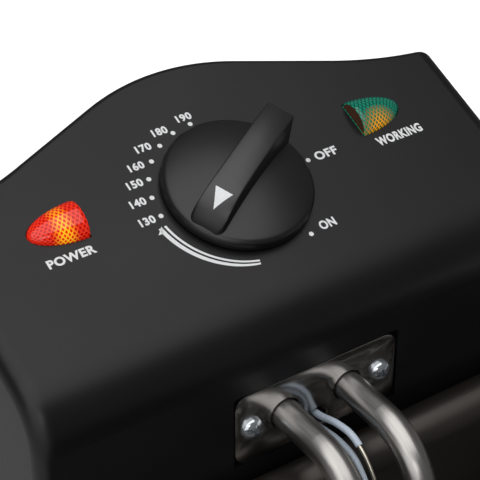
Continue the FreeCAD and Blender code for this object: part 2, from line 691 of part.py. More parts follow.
def thermostat():
    top = -HEAD_WALL
    plate_half_x = PANEL_SCREW_REACH + 2 * PANEL_SCREW_RADIUS
    plate_outline = rounded_rectangle(plate_half_x, HUB_RADIUS + PANEL_SCREW_RADIUS, PANEL_SCREW_RADIUS)
    plate_outline.translate(Vector(0, 0, top - THERMOSTAT_PLATE))
    plate = prism(plate_outline, Vector(0, 0, THERMOSTAT_PLATE))
    body_top = Vector(0, 0, top - THERMOSTAT_PLATE)
    body = rod(THERMOSTAT_RADIUS, body_top - Vector(0, 0, THERMOSTAT_DEPTH), body_top)
    bush = rod(HUB_RADIUS - HOLE_GAP, body_top, Vector(0, 0, 0))
    bore_low = top - THERMOSTAT_DEPTH / 2
    bore = rod(SHAFT_RADIUS + SHAFT_FIT, Vector(0, 0, bore_low), Vector(0, 0, HEAD_WALL))
    hole_low = top - SCREW_LENGTH - SEAT_GAP
    hole_radius = PANEL_SCREW_RADIUS + SCREW_FIT
    places = [side * PANEL_SCREW_REACH for side in SIDES]
    holes = [rod(hole_radius, Vector(x, 0, hole_low), Vector(x, 0, top)) for x in places]
    return placed(plate.fuse([body, bush]).removeSplitter().cut([bore] + holes), PANEL)


def knob_shaft():
    low = -HEAD_WALL - THERMOSTAT_DEPTH / 2 + SEAT_GAP
    turned = Placement(Vector(0, 0, 0), Rotation(Vector(0, 0, 1), POINTER_ANGLE))
    lower = rod(SHAFT_RADIUS, Vector(0, 0, low), Vector(0, 0, KNOB_GAP))
    upper = flatted_shaft(SHAFT_RADIUS, SHAFT_FLAT, KNOB_GAP, SHAFT_TOP)
    return placed(placed(lower.fuse(upper), turned), PANEL)


def panel_screw(side):
    seat = Vector(side * PANEL_SCREW_REACH, 0, 0)
    return placed(screw(seat, Vector(0, 0, -1), SCREW_LENGTH, PANEL_SCREW_RADIUS), PANEL)


write("control_knob", knob())
write("thermostat_shaft", knob_shaft())
write("thermostat_body", thermostat())
write("thermostat_screws", *[panel_screw(side) for side in SIDES])


# Heating element, bent from one tube, and its flange on the head
def element_points():
    """Corners of the left half, from the terminal to the rear turn on the middle line."""
    leg_x = TUBE_PITCH / 2
    return [
        Vector(-leg_x, -TUBE_INNER_END, TUBE_Z),
        Vector(-leg_x, -LEG_REACH, TUBE_Z),
        Vector(-leg_x, -LEG_REACH, ELEMENT_Z),
        Vector(-OUTER_RUN_X, -LEG_REACH, ELEMENT_Z),
        Vector(-OUTER_RUN_X, -FRONT_TURN_REACH, ELEMENT_Z),
        Vector(-INNER_RUN_X, -FRONT_TURN_REACH, ELEMENT_Z),
        Vector(-INNER_RUN_X, -REAR_TURN_REACH, ELEMENT_Z),
    ]


def heating_element():
    left = element_points()
    right = [Vector(-point.x, point.y, point.z) for point in reversed(left)]
    front_turn = (OUTER_RUN_X - INNER_RUN_X) / 2
    left_bends = [EXIT_BEND, FLOOR_BEND, FLOOR_BEND, front_turn, front_turn, INNER_RUN_X]
    return swept(bent_path(left + right, left_bends + left_bends[::-1]), TUBE_RADIUS)


def flange_plate(y_front, thickness):
    plate = upright_plate(FLANGE_WIDTH, FLANGE_HEIGHT, FLANGE_CORNER, y_front, thickness)
    return plate.cut(element_holes(y_front - thickness, y_front + 2 * thickness, FLANGE_HOLE_GAP))


def ring(outer, inner, start, end):
    return rod(outer, start, end).cut(rod(inner, start, end))


def terminal_parts(side):
    """Ferrule that grips the tube behind the front wall, ceramic bead and threaded stud."""
    x = side * TUBE_PITCH / 2
    wall_back = FRONT_Y + HEAD_WALL + FLANGE_PAD
    ferrule = ring(FERRULE_RADIUS, TUBE_RADIUS + SHAFT_FIT, Vector(x, wall_back, TUBE_Z),
                   Vector(x, wall_back + FERRULE_LENGTH, TUBE_Z))
    tube_end = Vector(x, -TUBE_INNER_END, TUBE_Z)
    bead_end = tube_end + Vector(0, BEAD_LENGTH, 0)
    stud_end = bead_end + Vector(0, STUD_LENGTH, 0)
    bead = rod(TUBE_RADIUS, tube_end, bead_end)
    return ferrule, bead, rod(STUD_RADIUS, bead_end, stud_end)


def flange_screw(side):
    seat = Vector(side * FLANGE_SCREW_PITCH / 2, FLANGE_FACE_Y, TUBE_Z)
    return screw(seat, Vector(0, 1, 0))


def element_brace():
    reach = OUTER_RUN_X + 2 * TUBE_RADIUS
    return block((-reach, reach), (-BRACE_REACH - BRACE_WIDTH / 2, -BRACE_REACH + BRACE_WIDTH / 2),
                 (BRACE_TOP - BRACE_THICKNESS, BRACE_TOP))


ELEMENT_ENDS = [terminal_parts(side) for side in SIDES]
write("heating_element", heating_element())
write("element_flange", flange_plate(FLANGE_FACE_Y, FLANGE_THICKNESS))
write("flange_gasket", flange_plate(FLANGE_FACE_Y + FLANGE_THICKNESS, GASKET_THICKNESS))
write("flange_screws", *[flange_screw(side) for side in SIDES])
write("element_ferrules", *[parts[0] for parts in ELEMENT_ENDS])
write("ceramic_beads", *[parts[1] for parts in ELEMENT_ENDS])
write("terminal_studs", *[parts[2] for parts in ELEMENT_ENDS])
write("element_brace", element_brace())


# Overheat cut-out with its reset button, cord gland, terminal block and safety switch
def back_seat(radius):
    """How far back a flat disc on the middle line reaches inside the bowed wall."""
    bow = CROWN_RADIUS - HEAD_WALL
    return CROWN_REACH - HEAD_WALL - SEAT_GAP - bow + math.sqrt(bow ** 2 - radius ** 2)


BACK = Vector(0, 1, 0)
CUTOUT_FACE_Y = back_seat(CUTOUT_RADIUS)
NECK_END_Y = CROWN_REACH + NUT_THICKNESS
CHAMBER_RADIUS = NECK_RADIUS + HOLE_GAP
COLLAR_RADIUS = BUTTON_RADIUS + BUTTON_COLLAR
COLLAR_FACE_Y = CUTOUT_FACE_Y - BUTTON_TRAVEL
CHAMBER_END_Y = COLLAR_FACE_Y - 4 * BUTTON_TRAVEL


def back_rod(drop, radius, y_low, y_high):
    """Round bar or bore along the middle line, at some depth below the knob."""
    return rod(radius, Vector(0, y_low, -drop), Vector(0, y_high, -drop))


def thermal_cutout():
    body = back_rod(CUTOUT_DROP, CUTOUT_RADIUS, CUTOUT_FACE_Y - CUTOUT_LENGTH, CUTOUT_FACE_Y)
    neck = back_rod(CUTOUT_DROP, NECK_RADIUS, CUTOUT_FACE_Y, NECK_END_Y)
    bore = back_rod(CUTOUT_DROP, BUTTON_RADIUS + BUTTON_FIT, COLLAR_FACE_Y, NECK_END_Y)
    chamber = back_rod(CUTOUT_DROP, CHAMBER_RADIUS, CHAMBER_END_Y, COLLAR_FACE_Y)
    return body.fuse(neck).cut([bore, chamber])


def reset_button():
    stem_start = CHAMBER_END_Y + 2 * BUTTON_TRAVEL
    stem = back_rod(CUTOUT_DROP, BUTTON_RADIUS, stem_start, NECK_END_Y + BUTTON_PROUD)
    rim = [edge for edge in stem.Edges if edge.isClosed() and edge.BoundBox.Center.y > NECK_END_Y]
    stem = stem.makeChamfer(BUTTON_RADIUS / 4, rim)
    collar_face = COLLAR_FACE_Y - SEAT_GAP
    return stem.fuse(back_rod(CUTOUT_DROP, COLLAR_RADIUS, collar_face - BUTTON_TRAVEL, collar_face))


def back_nut(drop, y_low, thickness, flats, bore):
    nut = hexagon(flats, Vector(0, y_low, -drop), BACK, thickness)
    return nut.cut(back_rod(drop, bore, y_low, y_low + thickness))


def cord_gland():
    """Flanged bush with a coned snout outside and a thread inside for its nut."""
    wall_out = CROWN_REACH
    flange_end = wall_out + GLAND_FLANGE_THICKNESS
    thread_end = wall_out - HEAD_WALL - GLAND_THREAD
    flange = back_rod(GLAND_DROP, GLAND_FLANGE_RADIUS, wall_out, flange_end)
    snout = Part.makeCone(GLAND_RADIUS, GLAND_BORE_RADIUS + GLAND_SNOUT_WALL, GLAND_END_Y - flange_end,
                          Vector(0, flange_end, -GLAND_DROP), BACK)
    thread = back_rod(GLAND_DROP, GLAND_RADIUS, thread_end, wall_out)
    bore = back_rod(GLAND_DROP, GLAND_BORE_RADIUS, thread_end, GLAND_END_Y)
    return flange.fuse([snout, thread]).cut(bore)


def terminal_block():
    """Ceramic block with a row of wire pockets, standing on the bottom cover."""
    low = HEAD_FLOOR + HEAD_WALL
    middle = low + TERMINAL_HEIGHT / 2
    length = TERMINAL_COUNT * TERMINAL_PITCH
    x_left = -HEAD_WIDTH / 4 - length / 2
    half_depth = TERMINAL_DEPTH / 2
    body = block((x_left, x_left + length), (-half_depth, half_depth), (low, low + TERMINAL_HEIGHT))
    pockets = []
    for way in range(TERMINAL_COUNT):
        x = x_left + (way + 0.5) * TERMINAL_PITCH
        centre = Vector(x, 0, middle)
        through = Vector(0, half_depth, 0)
        pockets.append(rod(TERMINAL_BORE_RADIUS, centre - through, centre + through))
        pockets.append(rod(TERMINAL_SCREW_RADIUS, centre, Vector(x, 0, low + TERMINAL_HEIGHT)))
    return body.cut(pockets)


def interlock_switch():
    """Small snap switch on the slot's back wall, with its plunger turned to the guide."""
    half = SWITCH_LENGTH / 2
    low = HEAD_FLOOR + HEAD_WALL + COVER_GAP
    middle = low + SWITCH_HEIGHT / 2
    back = SLOT_BLOCK_Y + SWITCH_DEPTH
    body = block((-half, half), (SLOT_BLOCK_Y, back), (low, low + SWITCH_HEIGHT))
    holes = [rod(SWITCH_HOLE_RADIUS, Vector(x, SLOT_BLOCK_Y, middle), Vector(x, back, middle))
             for x in (-half / 2, half / 2)]
    return body.cut(holes)


write("thermal_cutout", thermal_cutout())
write("reset_button", reset_button())
write("cutout_nut", back_nut(CUTOUT_DROP, CROWN_REACH, NUT_THICKNESS, NUT_FLATS, NECK_RADIUS + SHAFT_FIT))
write("cord_gland", cord_gland())
write("gland_nut", back_nut(GLAND_DROP, back_seat(GLAND_NUT_FLATS / math.sqrt(3)) - GLAND_FLANGE_THICKNESS,
                            GLAND_FLANGE_THICKNESS, GLAND_NUT_FLATS, GLAND_RADIUS + SHAFT_FIT))
write("terminal_block", terminal_block())
write("interlock_switch", interlock_switch())


# Sensor lines: out of the flange between the tubes, down to bulbs held on the brace
def line_tail(side, x):
    """Common way down behind the basket and out to one bulb."""
    floor_z = ELEMENT_Z + CAPILLARY_RADIUS
    return [
        Vector(side * x, -68.6, -104.0),
        Vector(side * x, -69.6, -140.0),
        Vector(side * x, -69.4, floor_z),
        Vector(side * 6.0, -81.0, floor_z - 0.3),
        Vector(side * (BULB_X - 8.0), -83.5, BULB_Z + 0.6),
        Vector(side * BULB_X, -96.0, BULB_Z),
        Vector(side * BULB_X, -BULB_REACH, BULB_Z),
    ]


def thermostat_line():
    """Out of the thermostat's front side, down behind the front wall and out over the rim."""
    depth = HEAD_WALL + THERMOSTAT_PLATE + 0.75 * THERMOSTAT_DEPTH
    start = PANEL.multVec(Vector(0.3, -THERMOSTAT_RADIUS - SEAT_GAP, -depth))
    ahead = PANEL.multVec(Vector(0.3, -THERMOSTAT_RADIUS - 6.0, -depth))
    return [start, ahead] + [Vector(*place) for place in (
        (0.3, -19.5, -38.0), (0.3, -25.0, -50.0), (0.3, -37.5, -49.8), (0.2, -44.0, -46.9),
        (0.2, -51.6, -45.6), (0.3, -57.8, -49.5), (0.5, -61.6, -55.0), (0.9, -65.2, -65.0),
        (1.3, -67.6, -82.0),
    )] + line_tail(1, 1.6)


def cutout_line():
    """Straight forward from the cut-out, then beside the other line."""
    start = Vector(-0.6, CUTOUT_FACE_Y - CUTOUT_LENGTH - SEAT_GAP, -50.0)
    return [start] + [Vector(*place) for place in (
        (-0.6, -8.0, -50.7), (-0.6, -26.0, -52.6), (-0.6, -38.0, -52.2), (-0.6, -46.0, -50.3),
        (-0.6, -53.5, -50.8), (-0.8, -59.4, -55.6), (-1.2, -64.2, -66.0), (-1.5, -67.2, -84.0),
    )] + line_tail(-1, 1.6)


def sleeve(points, radius, first_run, last_bend):
    """Insulating tube over the line, from the start of one run to the end of a later bend."""
    edges = bent_path(points, easy_radii(points))[2 * first_run:2 * last_bend]
    return swept(edges, radius).cut(swept(edges, CAPILLARY_RADIUS + SLEEVE_GAP))


def capillary(points):
    radii = easy_radii(points)
    print("tightest bend of a sensor line", round(min(radii), 1))
    return swept(bent_path(points, radii), CAPILLARY_RADIUS)


def bulb(side):
    start = Vector(side * BULB_X, -BULB_REACH, BULB_Z)
    return rod(BULB_RADIUS, start, start - Vector(0, BULB_LENGTH, 0))


def bulb_clip(side):
    """Saddle strap that holds a bulb down on the brace."""
    inner = BULB_RADIUS + SEAT_GAP
    outer = inner + CLIP_THICKNESS
    start = Vector(0, -BRACE_REACH - CLIP_WIDTH / 2, BULB_Z)
    end = start + Vector(0, CLIP_WIDTH, 0)
    wide = outer + CLIP_TAB
    y_range = (start.y, end.y)
    arch = rod(outer, start, end).fuse(block((-outer, outer), y_range, (BRACE_TOP, BULB_Z)))
    tabs = block((-wide, wide), y_range, (BRACE_TOP, BRACE_TOP + CLIP_THICKNESS))
    hollow = rod(inner, start, end).fuse(block((-inner, inner), y_range, (BRACE_TOP - inner, BULB_Z)))
    above = block((-wide, wide), y_range, (BRACE_TOP, BULB_Z + outer))
    strap = arch.fuse(tabs).cut(hollow).common(above)
    strap.translate(Vector(side * BULB_X, 0, 0))
    return strap.removeSplitter()


write("thermostat_capillary", capillary(thermostat_line()))
write("cutout_capillary", capillary(cutout_line()))
write("thermostat_sleeve", sleeve(thermostat_line(), THERMOSTAT_SLEEVE_RADIUS, 3, 6))
write("cutout_sleeve", sleeve(cutout_line(), CUTOUT_SLEEVE_RADIUS, 2, 8))
write("thermostat_bulb", bulb(1))
write("cutout_bulb", bulb(-1))
write("bulb_clips", *[bulb_clip(side) for side in SIDES])


# Oil pan, drawn from sheet, with a rolled rim
def pan_outline(grow, z):
    return rounded_rectangle(PAN_WIDTH / 2 + grow, PAN_LENGTH / 2 + grow, PAN_CORNER + grow, z, PAN_CENTRE_Y)


def pan_cup(grow, floor, radius):
    cup = prism(pan_outline(grow, floor), Vector(0, 0, RIM_CENTRE_Z - floor))
    foot = [edge for edge in cup.Edges if abs(edge.BoundBox.ZMax - floor) < SEAT_GAP]
    return cup.makeFillet(radius, foot)


def oil_pan():
    wall = pan_cup(PAN_SHEET, PAN_FLOOR - PAN_SHEET, PAN_FLOOR_RADIUS + PAN_SHEET)
    wall = wall.cut(pan_cup(0.0, PAN_FLOOR, PAN_FLOOR_RADIUS))
    path = pan_outline(RIM_RADIUS, RIM_CENTRE_Z)
    start = path.OrderedEdges[0].valueAt(path.OrderedEdges[0].FirstParameter)
    inner = RIM_RADIUS - PAN_SHEET

    def section(outward, up):
        return start + Vector(outward, 0, up)

    roll = Part.Wire([
        arc(section(-RIM_RADIUS, 0), section(0, RIM_RADIUS), section(RIM_RADIUS, 0)),
        straight(section(RIM_RADIUS, 0), section(RIM_RADIUS, -RIM_LIP)),
        straight(section(RIM_RADIUS, -RIM_LIP), section(inner, -RIM_LIP)),
        straight(section(inner, -RIM_LIP), section(inner, 0)),
        arc(section(inner, 0), section(0, inner), section(-inner, 0)),
        straight(section(-inner, 0), section(-RIM_RADIUS, 0)),
    ])
    rim = path.makePipeShell([roll], True, False)
    return wall.fuse(rim).removeSplitter()


write("oil_pan", oil_pan())


# Casing, base tray, feet, side handles and the rear guide
def casing_outline(grow, z):
    half_x, half_y = CASING_HALF_X + grow, CASING_HALF_Y + grow
    return rounded_rectangle(half_x, half_y, CASING_CORNER + grow, z, PAN_CENTRE_Y)


def side_places(pitch, z):
    """Seats on both long sides of the casing, paired about its middle."""
    return [Vector(side * CASING_HALF_X, PAN_CENTRE_Y + end * pitch / 2, z)
            for side in SIDES for end in SIDES]


BASE_SCREW_Z = TRAY_TOP + TRAY_UPSTAND / 2
HANDLE_TOP = RIM_TOP - HANDLE_BELOW_RIM
HANDLE_SCREW_Z = HANDLE_TOP - HANDLE_HEIGHT / 2
BASE_SCREW_PITCH = PAN_LENGTH / 2
BASE_SCREWS = side_places(BASE_SCREW_PITCH, BASE_SCREW_Z)
HANDLE_SCREWS = side_places(HANDLE_SCREW_PITCH, HANDLE_SCREW_Z)
GUIDE_TOP = SLOT_TOP - GUIDE_SEAT
GUIDE_FOOT = HEAD_FLOOR + SLOT_WALL
RIVETS = [Vector(side * GUIDE_WIDTH / 4, CASING_REAR_Y, z) for side in SIDES
          for z in (GUIDE_TOP - 3 * SLOT_WALL, GUIDE_FOOT + 3 * SLOT_WALL)]


def casing_wall():
    height = CASING_TOP - TRAY_TOP
    wall = prism(casing_outline(0, TRAY_TOP), Vector(0, 0, height))
    wall = wall.cut(prism(casing_outline(-CASING_SHEET, TRAY_TOP), Vector(0, 0, height)))
    across = Vector(2 * CASING_SHEET, 0, 0)
    hole_radius = SCREW_RADIUS + SCREW_FIT
    holes = [rod(hole_radius, place - across, place + across) for place in BASE_SCREWS + HANDLE_SCREWS]
    along = Vector(0, 2 * CASING_SHEET, 0)
    holes += [rod(RIVET_RADIUS + SCREW_FIT, place - along, place + along) for place in RIVETS]
    return wall.cut(holes)


def base_tray():
    floor = prism(casing_outline(0, TRAY_BOTTOM), Vector(0, 0, TRAY_FLOOR))
    outer = -CASING_SHEET - TRAY_GAP
    upstand = prism(casing_outline(outer, TRAY_TOP), Vector(0, 0, TRAY_UPSTAND))
    upstand = upstand.cut(prism(casing_outline(outer - TRAY_WALL, TRAY_TOP), Vector(0, 0, TRAY_UPSTAND)))
    slots = []
    for number in range(VENT_COUNT):
        y = PAN_CENTRE_Y + (number - (VENT_COUNT - 1) / 2) * VENT_PITCH
        end_radius = VENT_WIDTH / 2 - SEAT_GAP
        outline = rounded_rectangle(VENT_LENGTH / 2, VENT_WIDTH / 2, end_radius, TRAY_BOTTOM, y)
        slots.append(prism(outline, Vector(0, 0, TRAY_FLOOR)))
    reach = Vector(SCREW_LENGTH, 0, 0)
    holes = [rod(SCREW_RADIUS + SCREW_FIT, place - reach, place + reach) for place in BASE_SCREWS]
    return floor.fuse(upstand).cut(slots + holes)


def foot(side_x, side_y):
    x = side_x * (CASING_HALF_X - FOOT_INSET)
    y = PAN_CENTRE_Y + side_y * (CASING_HALF_Y - FOOT_INSET)
    place = Vector(x, y, TABLE)
    pad = rod(FOOT_RADIUS, place, place + Vector(0, 0, FOOT_HEIGHT))
    rim = [edge for edge in pad.Edges if edge.isClosed() and edge.BoundBox.ZMax < TABLE + SEAT_GAP]
    return pad.makeChamfer(FOOT_HEIGHT / 6, rim)


def carry_handle(side):
    """Hooked side grip: a back plate on the casing and an overhanging lip for the fingers."""
    base = CASING_HALF_X
    low = HANDLE_TOP - HANDLE_HEIGHT
    lip_low = HANDLE_TOP - 0.75 * HANDLE_HEIGHT
    round_over = HANDLE_THICKNESS
    turn = round_over * (1 - math.sqrt(0.5))
    y_low = PAN_CENTRE_Y - HANDLE_SPAN / 2

    def at(outward, z):
        return Vector(base + outward, y_low, z)

    outline = Part.Wire([
        straight(at(0, low), at(0, HANDLE_TOP)),
        straight(at(0, HANDLE_TOP), at(HANDLE_REACH - round_over, HANDLE_TOP)),
        arc(at(HANDLE_REACH - round_over, HANDLE_TOP), at(HANDLE_REACH - turn, HANDLE_TOP - turn),
                 at(HANDLE_REACH, HANDLE_TOP - round_over)),
        straight(at(HANDLE_REACH, HANDLE_TOP - round_over), at(HANDLE_REACH, lip_low)),
        straight(at(HANDLE_REACH, lip_low), at(HANDLE_REACH - HANDLE_THICKNESS, lip_low)),
        straight(at(HANDLE_REACH - HANDLE_THICKNESS, lip_low),
                         at(HANDLE_REACH - HANDLE_THICKNESS, HANDLE_TOP - HANDLE_THICKNESS)),
        straight(at(HANDLE_REACH - HANDLE_THICKNESS, HANDLE_TOP - HANDLE_THICKNESS),
                         at(HANDLE_THICKNESS, HANDLE_TOP - HANDLE_THICKNESS)),
        straight(at(HANDLE_THICKNESS, HANDLE_TOP - HANDLE_THICKNESS), at(HANDLE_THICKNESS, low)),
        straight(at(HANDLE_THICKNESS, low), at(0, low)),
    ])
    grip = prism(outline, Vector(0, HANDLE_SPAN, 0))
    corner = HANDLE_REACH - HANDLE_THICKNESS
    plan = rounded_rectangle(HANDLE_REACH, HANDLE_SPAN / 2, corner, low, PAN_CENTRE_Y)
    rounded = prism(plan, Vector(0, 0, HANDLE_HEIGHT))
    rounded.translate(Vector(base, 0, 0))
    grip = grip.common(rounded)
    across = Vector(HANDLE_REACH, 0, 0)
    seats = [place for place in HANDLE_SCREWS if place.x > 0]
    holes = [rod(SCREW_RADIUS + SCREW_FIT, seat - across, seat + across) for seat in seats]
    grip = grip.cut(holes)
    return grip if side > 0 else mirrored(grip)


def handle_screw(place):
    """Driven from inside the casing into the handle's back plate."""
    side = 1 if place.x > 0 else -1
    inside = place - Vector(side * CASING_SHEET, 0, 0)
    return screw(inside, Vector(side, 0, 0), HANDLE_THICKNESS + CASING_SHEET)


def base_screw(place):
    side = 1 if place.x > 0 else -1
    return screw(place, Vector(-side, 0, 0), SCREW_LENGTH)


def guide_bracket():
    """Hat-section sheet: web on the casing, two legs, and flanges turned outward."""
    half = GUIDE_WIDTH / 2
    web_y = CASING_REAR_Y
    flange_y = SLOT_FRONT_Y + GUIDE_GAP
    wide = half + GUIDE_FLANGE
    inner = half - GUIDE_SHEET
    right = [Vector(x, y, GUIDE_FOOT) for x, y in (
        (half, web_y), (half, flange_y), (wide, flange_y), (wide, flange_y + GUIDE_SHEET),
        (inner, flange_y + GUIDE_SHEET), (inner, web_y + GUIDE_SHEET))]
    left = [Vector(-point.x, point.y, point.z) for point in reversed(right)]
    hat = prism(polygon(right + left), Vector(0, 0, GUIDE_TOP - GUIDE_FOOT))
    through = Vector(0, 2 * GUIDE_SHEET, 0)
    return hat.cut([rod(RIVET_RADIUS + SCREW_FIT, place - through, place + through) for place in RIVETS])


def guide_rivet(place):
    seat = place + Vector(0, GUIDE_SHEET, 0)
    return screw(seat, Vector(0, -1, 0), GUIDE_SHEET + CASING_SHEET, RIVET_RADIUS)


write("casing_wall", casing_wall())
write("base_tray", base_tray())
write("rubber_feet", *[foot(side_x, side_y) for side_x in SIDES for side_y in SIDES])
write("base_screws", *[base_screw(place) for place in BASE_SCREWS])
write("left_carry_handle", carry_handle(-1))
write("right_carry_handle", carry_handle(1))
write("carry_handle_screws", *[handle_screw(place) for place in HANDLE_SCREWS])
write("guide_bracket", guide_bracket())
write("guide_rivets", *[guide_rivet(place) for place in RIVETS])


# Wire basket: flat nets, rounded net corners and a rim wire
def net_windows(length, height):
    """Window outlines of a net, evenly spaced about the middle of a length by height field."""
    across = int((length - NET_WIRE) // NET_PITCH)
    up = int((height - NET_WIRE) // NET_PITCH)
    half = (NET_PITCH - NET_WIRE) / 2
    windows = []
    for column in range(across):
        for row in range(up):
            x = (column - (across - 1) / 2) * NET_PITCH
            y = (row - (up - 1) / 2) * NET_PITCH
            windows.append((x, y, half))
    return windows


def window_wire(x, y, half):
    return polygon([Vector(x - half, y - half, 0), Vector(x + half, y - half, 0),
                    Vector(x + half, y + half, 0), Vector(x - half, y + half, 0)])


def flat_net(outline, windows):
    sheet = Part.Face([outline] + [window_wire(*window) for window in windows])
    return sheet.extrude(Vector(0, 0, NET_THICKNESS))


NET_LOW = BASKET_BOTTOM + NET_THICKNESS
NET_HEIGHT = BASKET_TOP - NET_LOW
NET_MIDDLE = (BASKET_TOP + NET_LOW) / 2
SIDE_RUN = 2 * (BASKET_HALF_Y - BASKET_CORNER)
END_RUN = 2 * (BASKET_HALF_X - BASKET_CORNER)


def basket_floor():
    outline = rounded_rectangle(BASKET_HALF_X, BASKET_HALF_Y, BASKET_CORNER)
    windows = net_windows(BASKET_WIDTH, 2 * BASKET_HALF_Y)
    corner_x = BASKET_HALF_X - BASKET_CORNER / 2
    corner_y = BASKET_HALF_Y - BASKET_CORNER / 2
    kept = [w for w in windows if abs(w[0]) + w[2] < corner_x or abs(w[1]) + w[2] < corner_y]
    net = flat_net(outline, kept)
    net.translate(Vector(0, BASKET_CENTRE_Y, BASKET_BOTTOM))
    return net


def upright_net(run):
    half, half_height = run / 2, NET_HEIGHT / 2
    outline = polygon([Vector(-half, -half_height, 0), Vector(half, -half_height, 0),
                       Vector(half, half_height, 0), Vector(-half, half_height, 0)])
    return placed(flat_net(outline, net_windows(run, NET_HEIGHT)),
                  Placement(Vector(0, 0, NET_MIDDLE), Rotation(Vector(1, 0, 0), 90)))


def basket_end(y_outer, facing):
    net = upright_net(END_RUN)
    net.translate(Vector(0, y_outer + (NET_THICKNESS if facing < 0 else 0), 0))
    return net


def basket_side(side):
    net = placed(upright_net(SIDE_RUN), Placement(Vector(0, 0, 0), Rotation(Vector(0, 0, 1), 90)))
    x_outer = side * BASKET_HALF_X
    net.translate(Vector(x_outer - (NET_THICKNESS if side > 0 else 0), BASKET_CENTRE_Y, 0))
    return net


def basket_corner(side_x, side_y):
    """Quarter turn of the wall, with one column of windows."""
    pivot = Vector(side_x * (BASKET_HALF_X - BASKET_CORNER),
                   BASKET_CENTRE_Y + side_y * (BASKET_HALF_Y - BASKET_CORNER), NET_LOW)
    reach = 2 * BASKET_CORNER
    bend = ring(BASKET_CORNER, BASKET_CORNER - NET_THICKNESS, pivot, pivot + Vector(0, 0, NET_HEIGHT))
    x_range = sorted((pivot.x, pivot.x + side_x * reach))
    y_range = sorted((pivot.y, pivot.y + side_y * reach))
    bend = bend.common(block(x_range, y_range, (NET_LOW, BASKET_TOP)))
    windows = []
    for x, z, half in net_windows(NET_PITCH + NET_WIRE, NET_HEIGHT):
        low = NET_MIDDLE + z - half
        bar = block((0, reach), (-half, half), (low, low + 2 * half))
        turn = math.degrees(math.atan2(side_y, side_x))
        windows.append(placed(bar, Placement(Vector(pivot.x, pivot.y, 0), Rotation(Vector(0, 0, 1), turn))))
    return bend.cut(windows)


def basket_rim_wire():
    offset = RIM_WIRE_RADIUS + SEAT_GAP
    path = rounded_rectangle(BASKET_HALF_X + offset, BASKET_HALF_Y + offset, BASKET_CORNER + offset,
                             BASKET_TOP - RIM_WIRE_RADIUS, BASKET_CENTRE_Y)
    return swept(path.OrderedEdges, RIM_WIRE_RADIUS)


def handle_bracket():
    """Bent sheet inside the front net: ears carry the handle, the top edge stops it."""
    inner_y = -BASKET_FRONT_REACH + NET_THICKNESS
    half = BRACKET_WIDTH / 2
    rest = PIVOT_Z - HANDLE_WIRE_RADIUS - SEAT_GAP
    plate = block((-half, half), (inner_y, inner_y + BRACKET_SHEET), (BASKET_TOP - BRACKET_DEPTH, rest))
    ear_low = BASKET_TOP - BRACKET_DEPTH / 2
    ears = []
    for side in SIDES:
        x_range = sorted((side * half, side * (half - EAR_THICKNESS)))
        tab = block(x_range, (inner_y, PIVOT_Y + EAR_RADIUS), (ear_low, PIVOT_Z))
        eye = rod(EAR_RADIUS, Vector(x_range[0], PIVOT_Y, PIVOT_Z), Vector(x_range[1], PIVOT_Y, PIVOT_Z))
        ears.append(tab.fuse(eye))
    hole = rod(HANDLE_WIRE_RADIUS + PIVOT_FIT, Vector(-BRACKET_WIDTH, PIVOT_Y, PIVOT_Z),
               Vector(BRACKET_WIDTH, PIVOT_Y, PIVOT_Z))
    return plate.fuse(ears).removeSplitter().cut(hole)


write("basket_floor", basket_floor())
write("basket_front", basket_end(-BASKET_FRONT_REACH, -1))
write("basket_back", basket_end(-BASKET_REAR_REACH, 1))
write("basket_left", basket_side(-1))
write("basket_right", basket_side(1))
write("basket_corners", *[basket_corner(side_x, side_y) for side_x in SIDES for side_y in SIDES])
write("basket_rim_wire", basket_rim_wire())
write("handle_bracket", handle_bracket())


# Folding basket handle: one bent wire moulded into a grip
def handle_wire(radius):
    pin_end = BRACKET_WIDTH / 2 + EAR_THICKNESS
    rise_start = PIVOT_Y - 2 * HANDLE_BEND
    grip_start = PIVOT_Y - HANDLE_RUN
    grip_z = PIVOT_Z + HANDLE_LIFT
    right = [
        Vector(pin_end, PIVOT_Y, PIVOT_Z),
        Vector(HANDLE_WIRE_SPREAD, PIVOT_Y, PIVOT_Z),
        Vector(HANDLE_WIRE_SPREAD, rise_start, PIVOT_Z),
        Vector(HANDLE_WIRE_NECK, grip_start, grip_z),
        Vector(HANDLE_WIRE_NECK, grip_start - GRIP_WIRE_DEPTH, grip_z),
    ]
    left = [Vector(-point.x, point.y, point.z) for point in reversed(right)]
    bends = [HANDLE_BEND, 2 * HANDLE_BEND, 2 * HANDLE_BEND, HANDLE_WIRE_NECK]
    return swept(bent_path(right + left, bends + bends[::-1]), radius)


def handle_grip():
    """Moulded grip: oval sections that swell in the palm and round off at the end."""
    start = PIVOT_Y - HANDLE_RUN
    z = PIVOT_Z + HANDLE_LIFT
    stations = ((0.0, 0.84), (0.22, 0.92), (0.55, 1.0), (0.86, 0.94), (0.97, 0.74), (1.0, 0.52))
    sections = []
    for share, swell in stations:
        oval = Part.Ellipse(Vector(0, 0, 0), GRIP_WIDTH / 2 * swell, GRIP_THICKNESS / 2 * swell).toShape()
        stand = Placement(Vector(0, start - share * GRIP_LENGTH, z), Rotation(Vector(1, 0, 0), 90))
        sections.append(Part.Wire(placed(oval, stand)))
    body = Part.makeLoft(sections, True, False)
    return body.cut(handle_wire(HANDLE_WIRE_RADIUS + SEAT_GAP))


write("handle_wire", handle_wire(HANDLE_WIRE_RADIUS))
write("handle_grip", handle_grip())


# Stand the fryer on the table and write every piece
os.makedirs("parts", exist_ok=True)
for name, shape in PIECES.items():
    shape.translate(Vector(0, KNOB_Y, KNOB_HEIGHT))
    shape.exportStep("parts/" + name + ".step")
print("pieces", len(PIECES), "knob at", round(KNOB_Y, 3), round(KNOB_HEIGHT, 3))
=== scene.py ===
import json
import math

import bmesh
import bpy
from mathutils import Color, Matrix, Vector


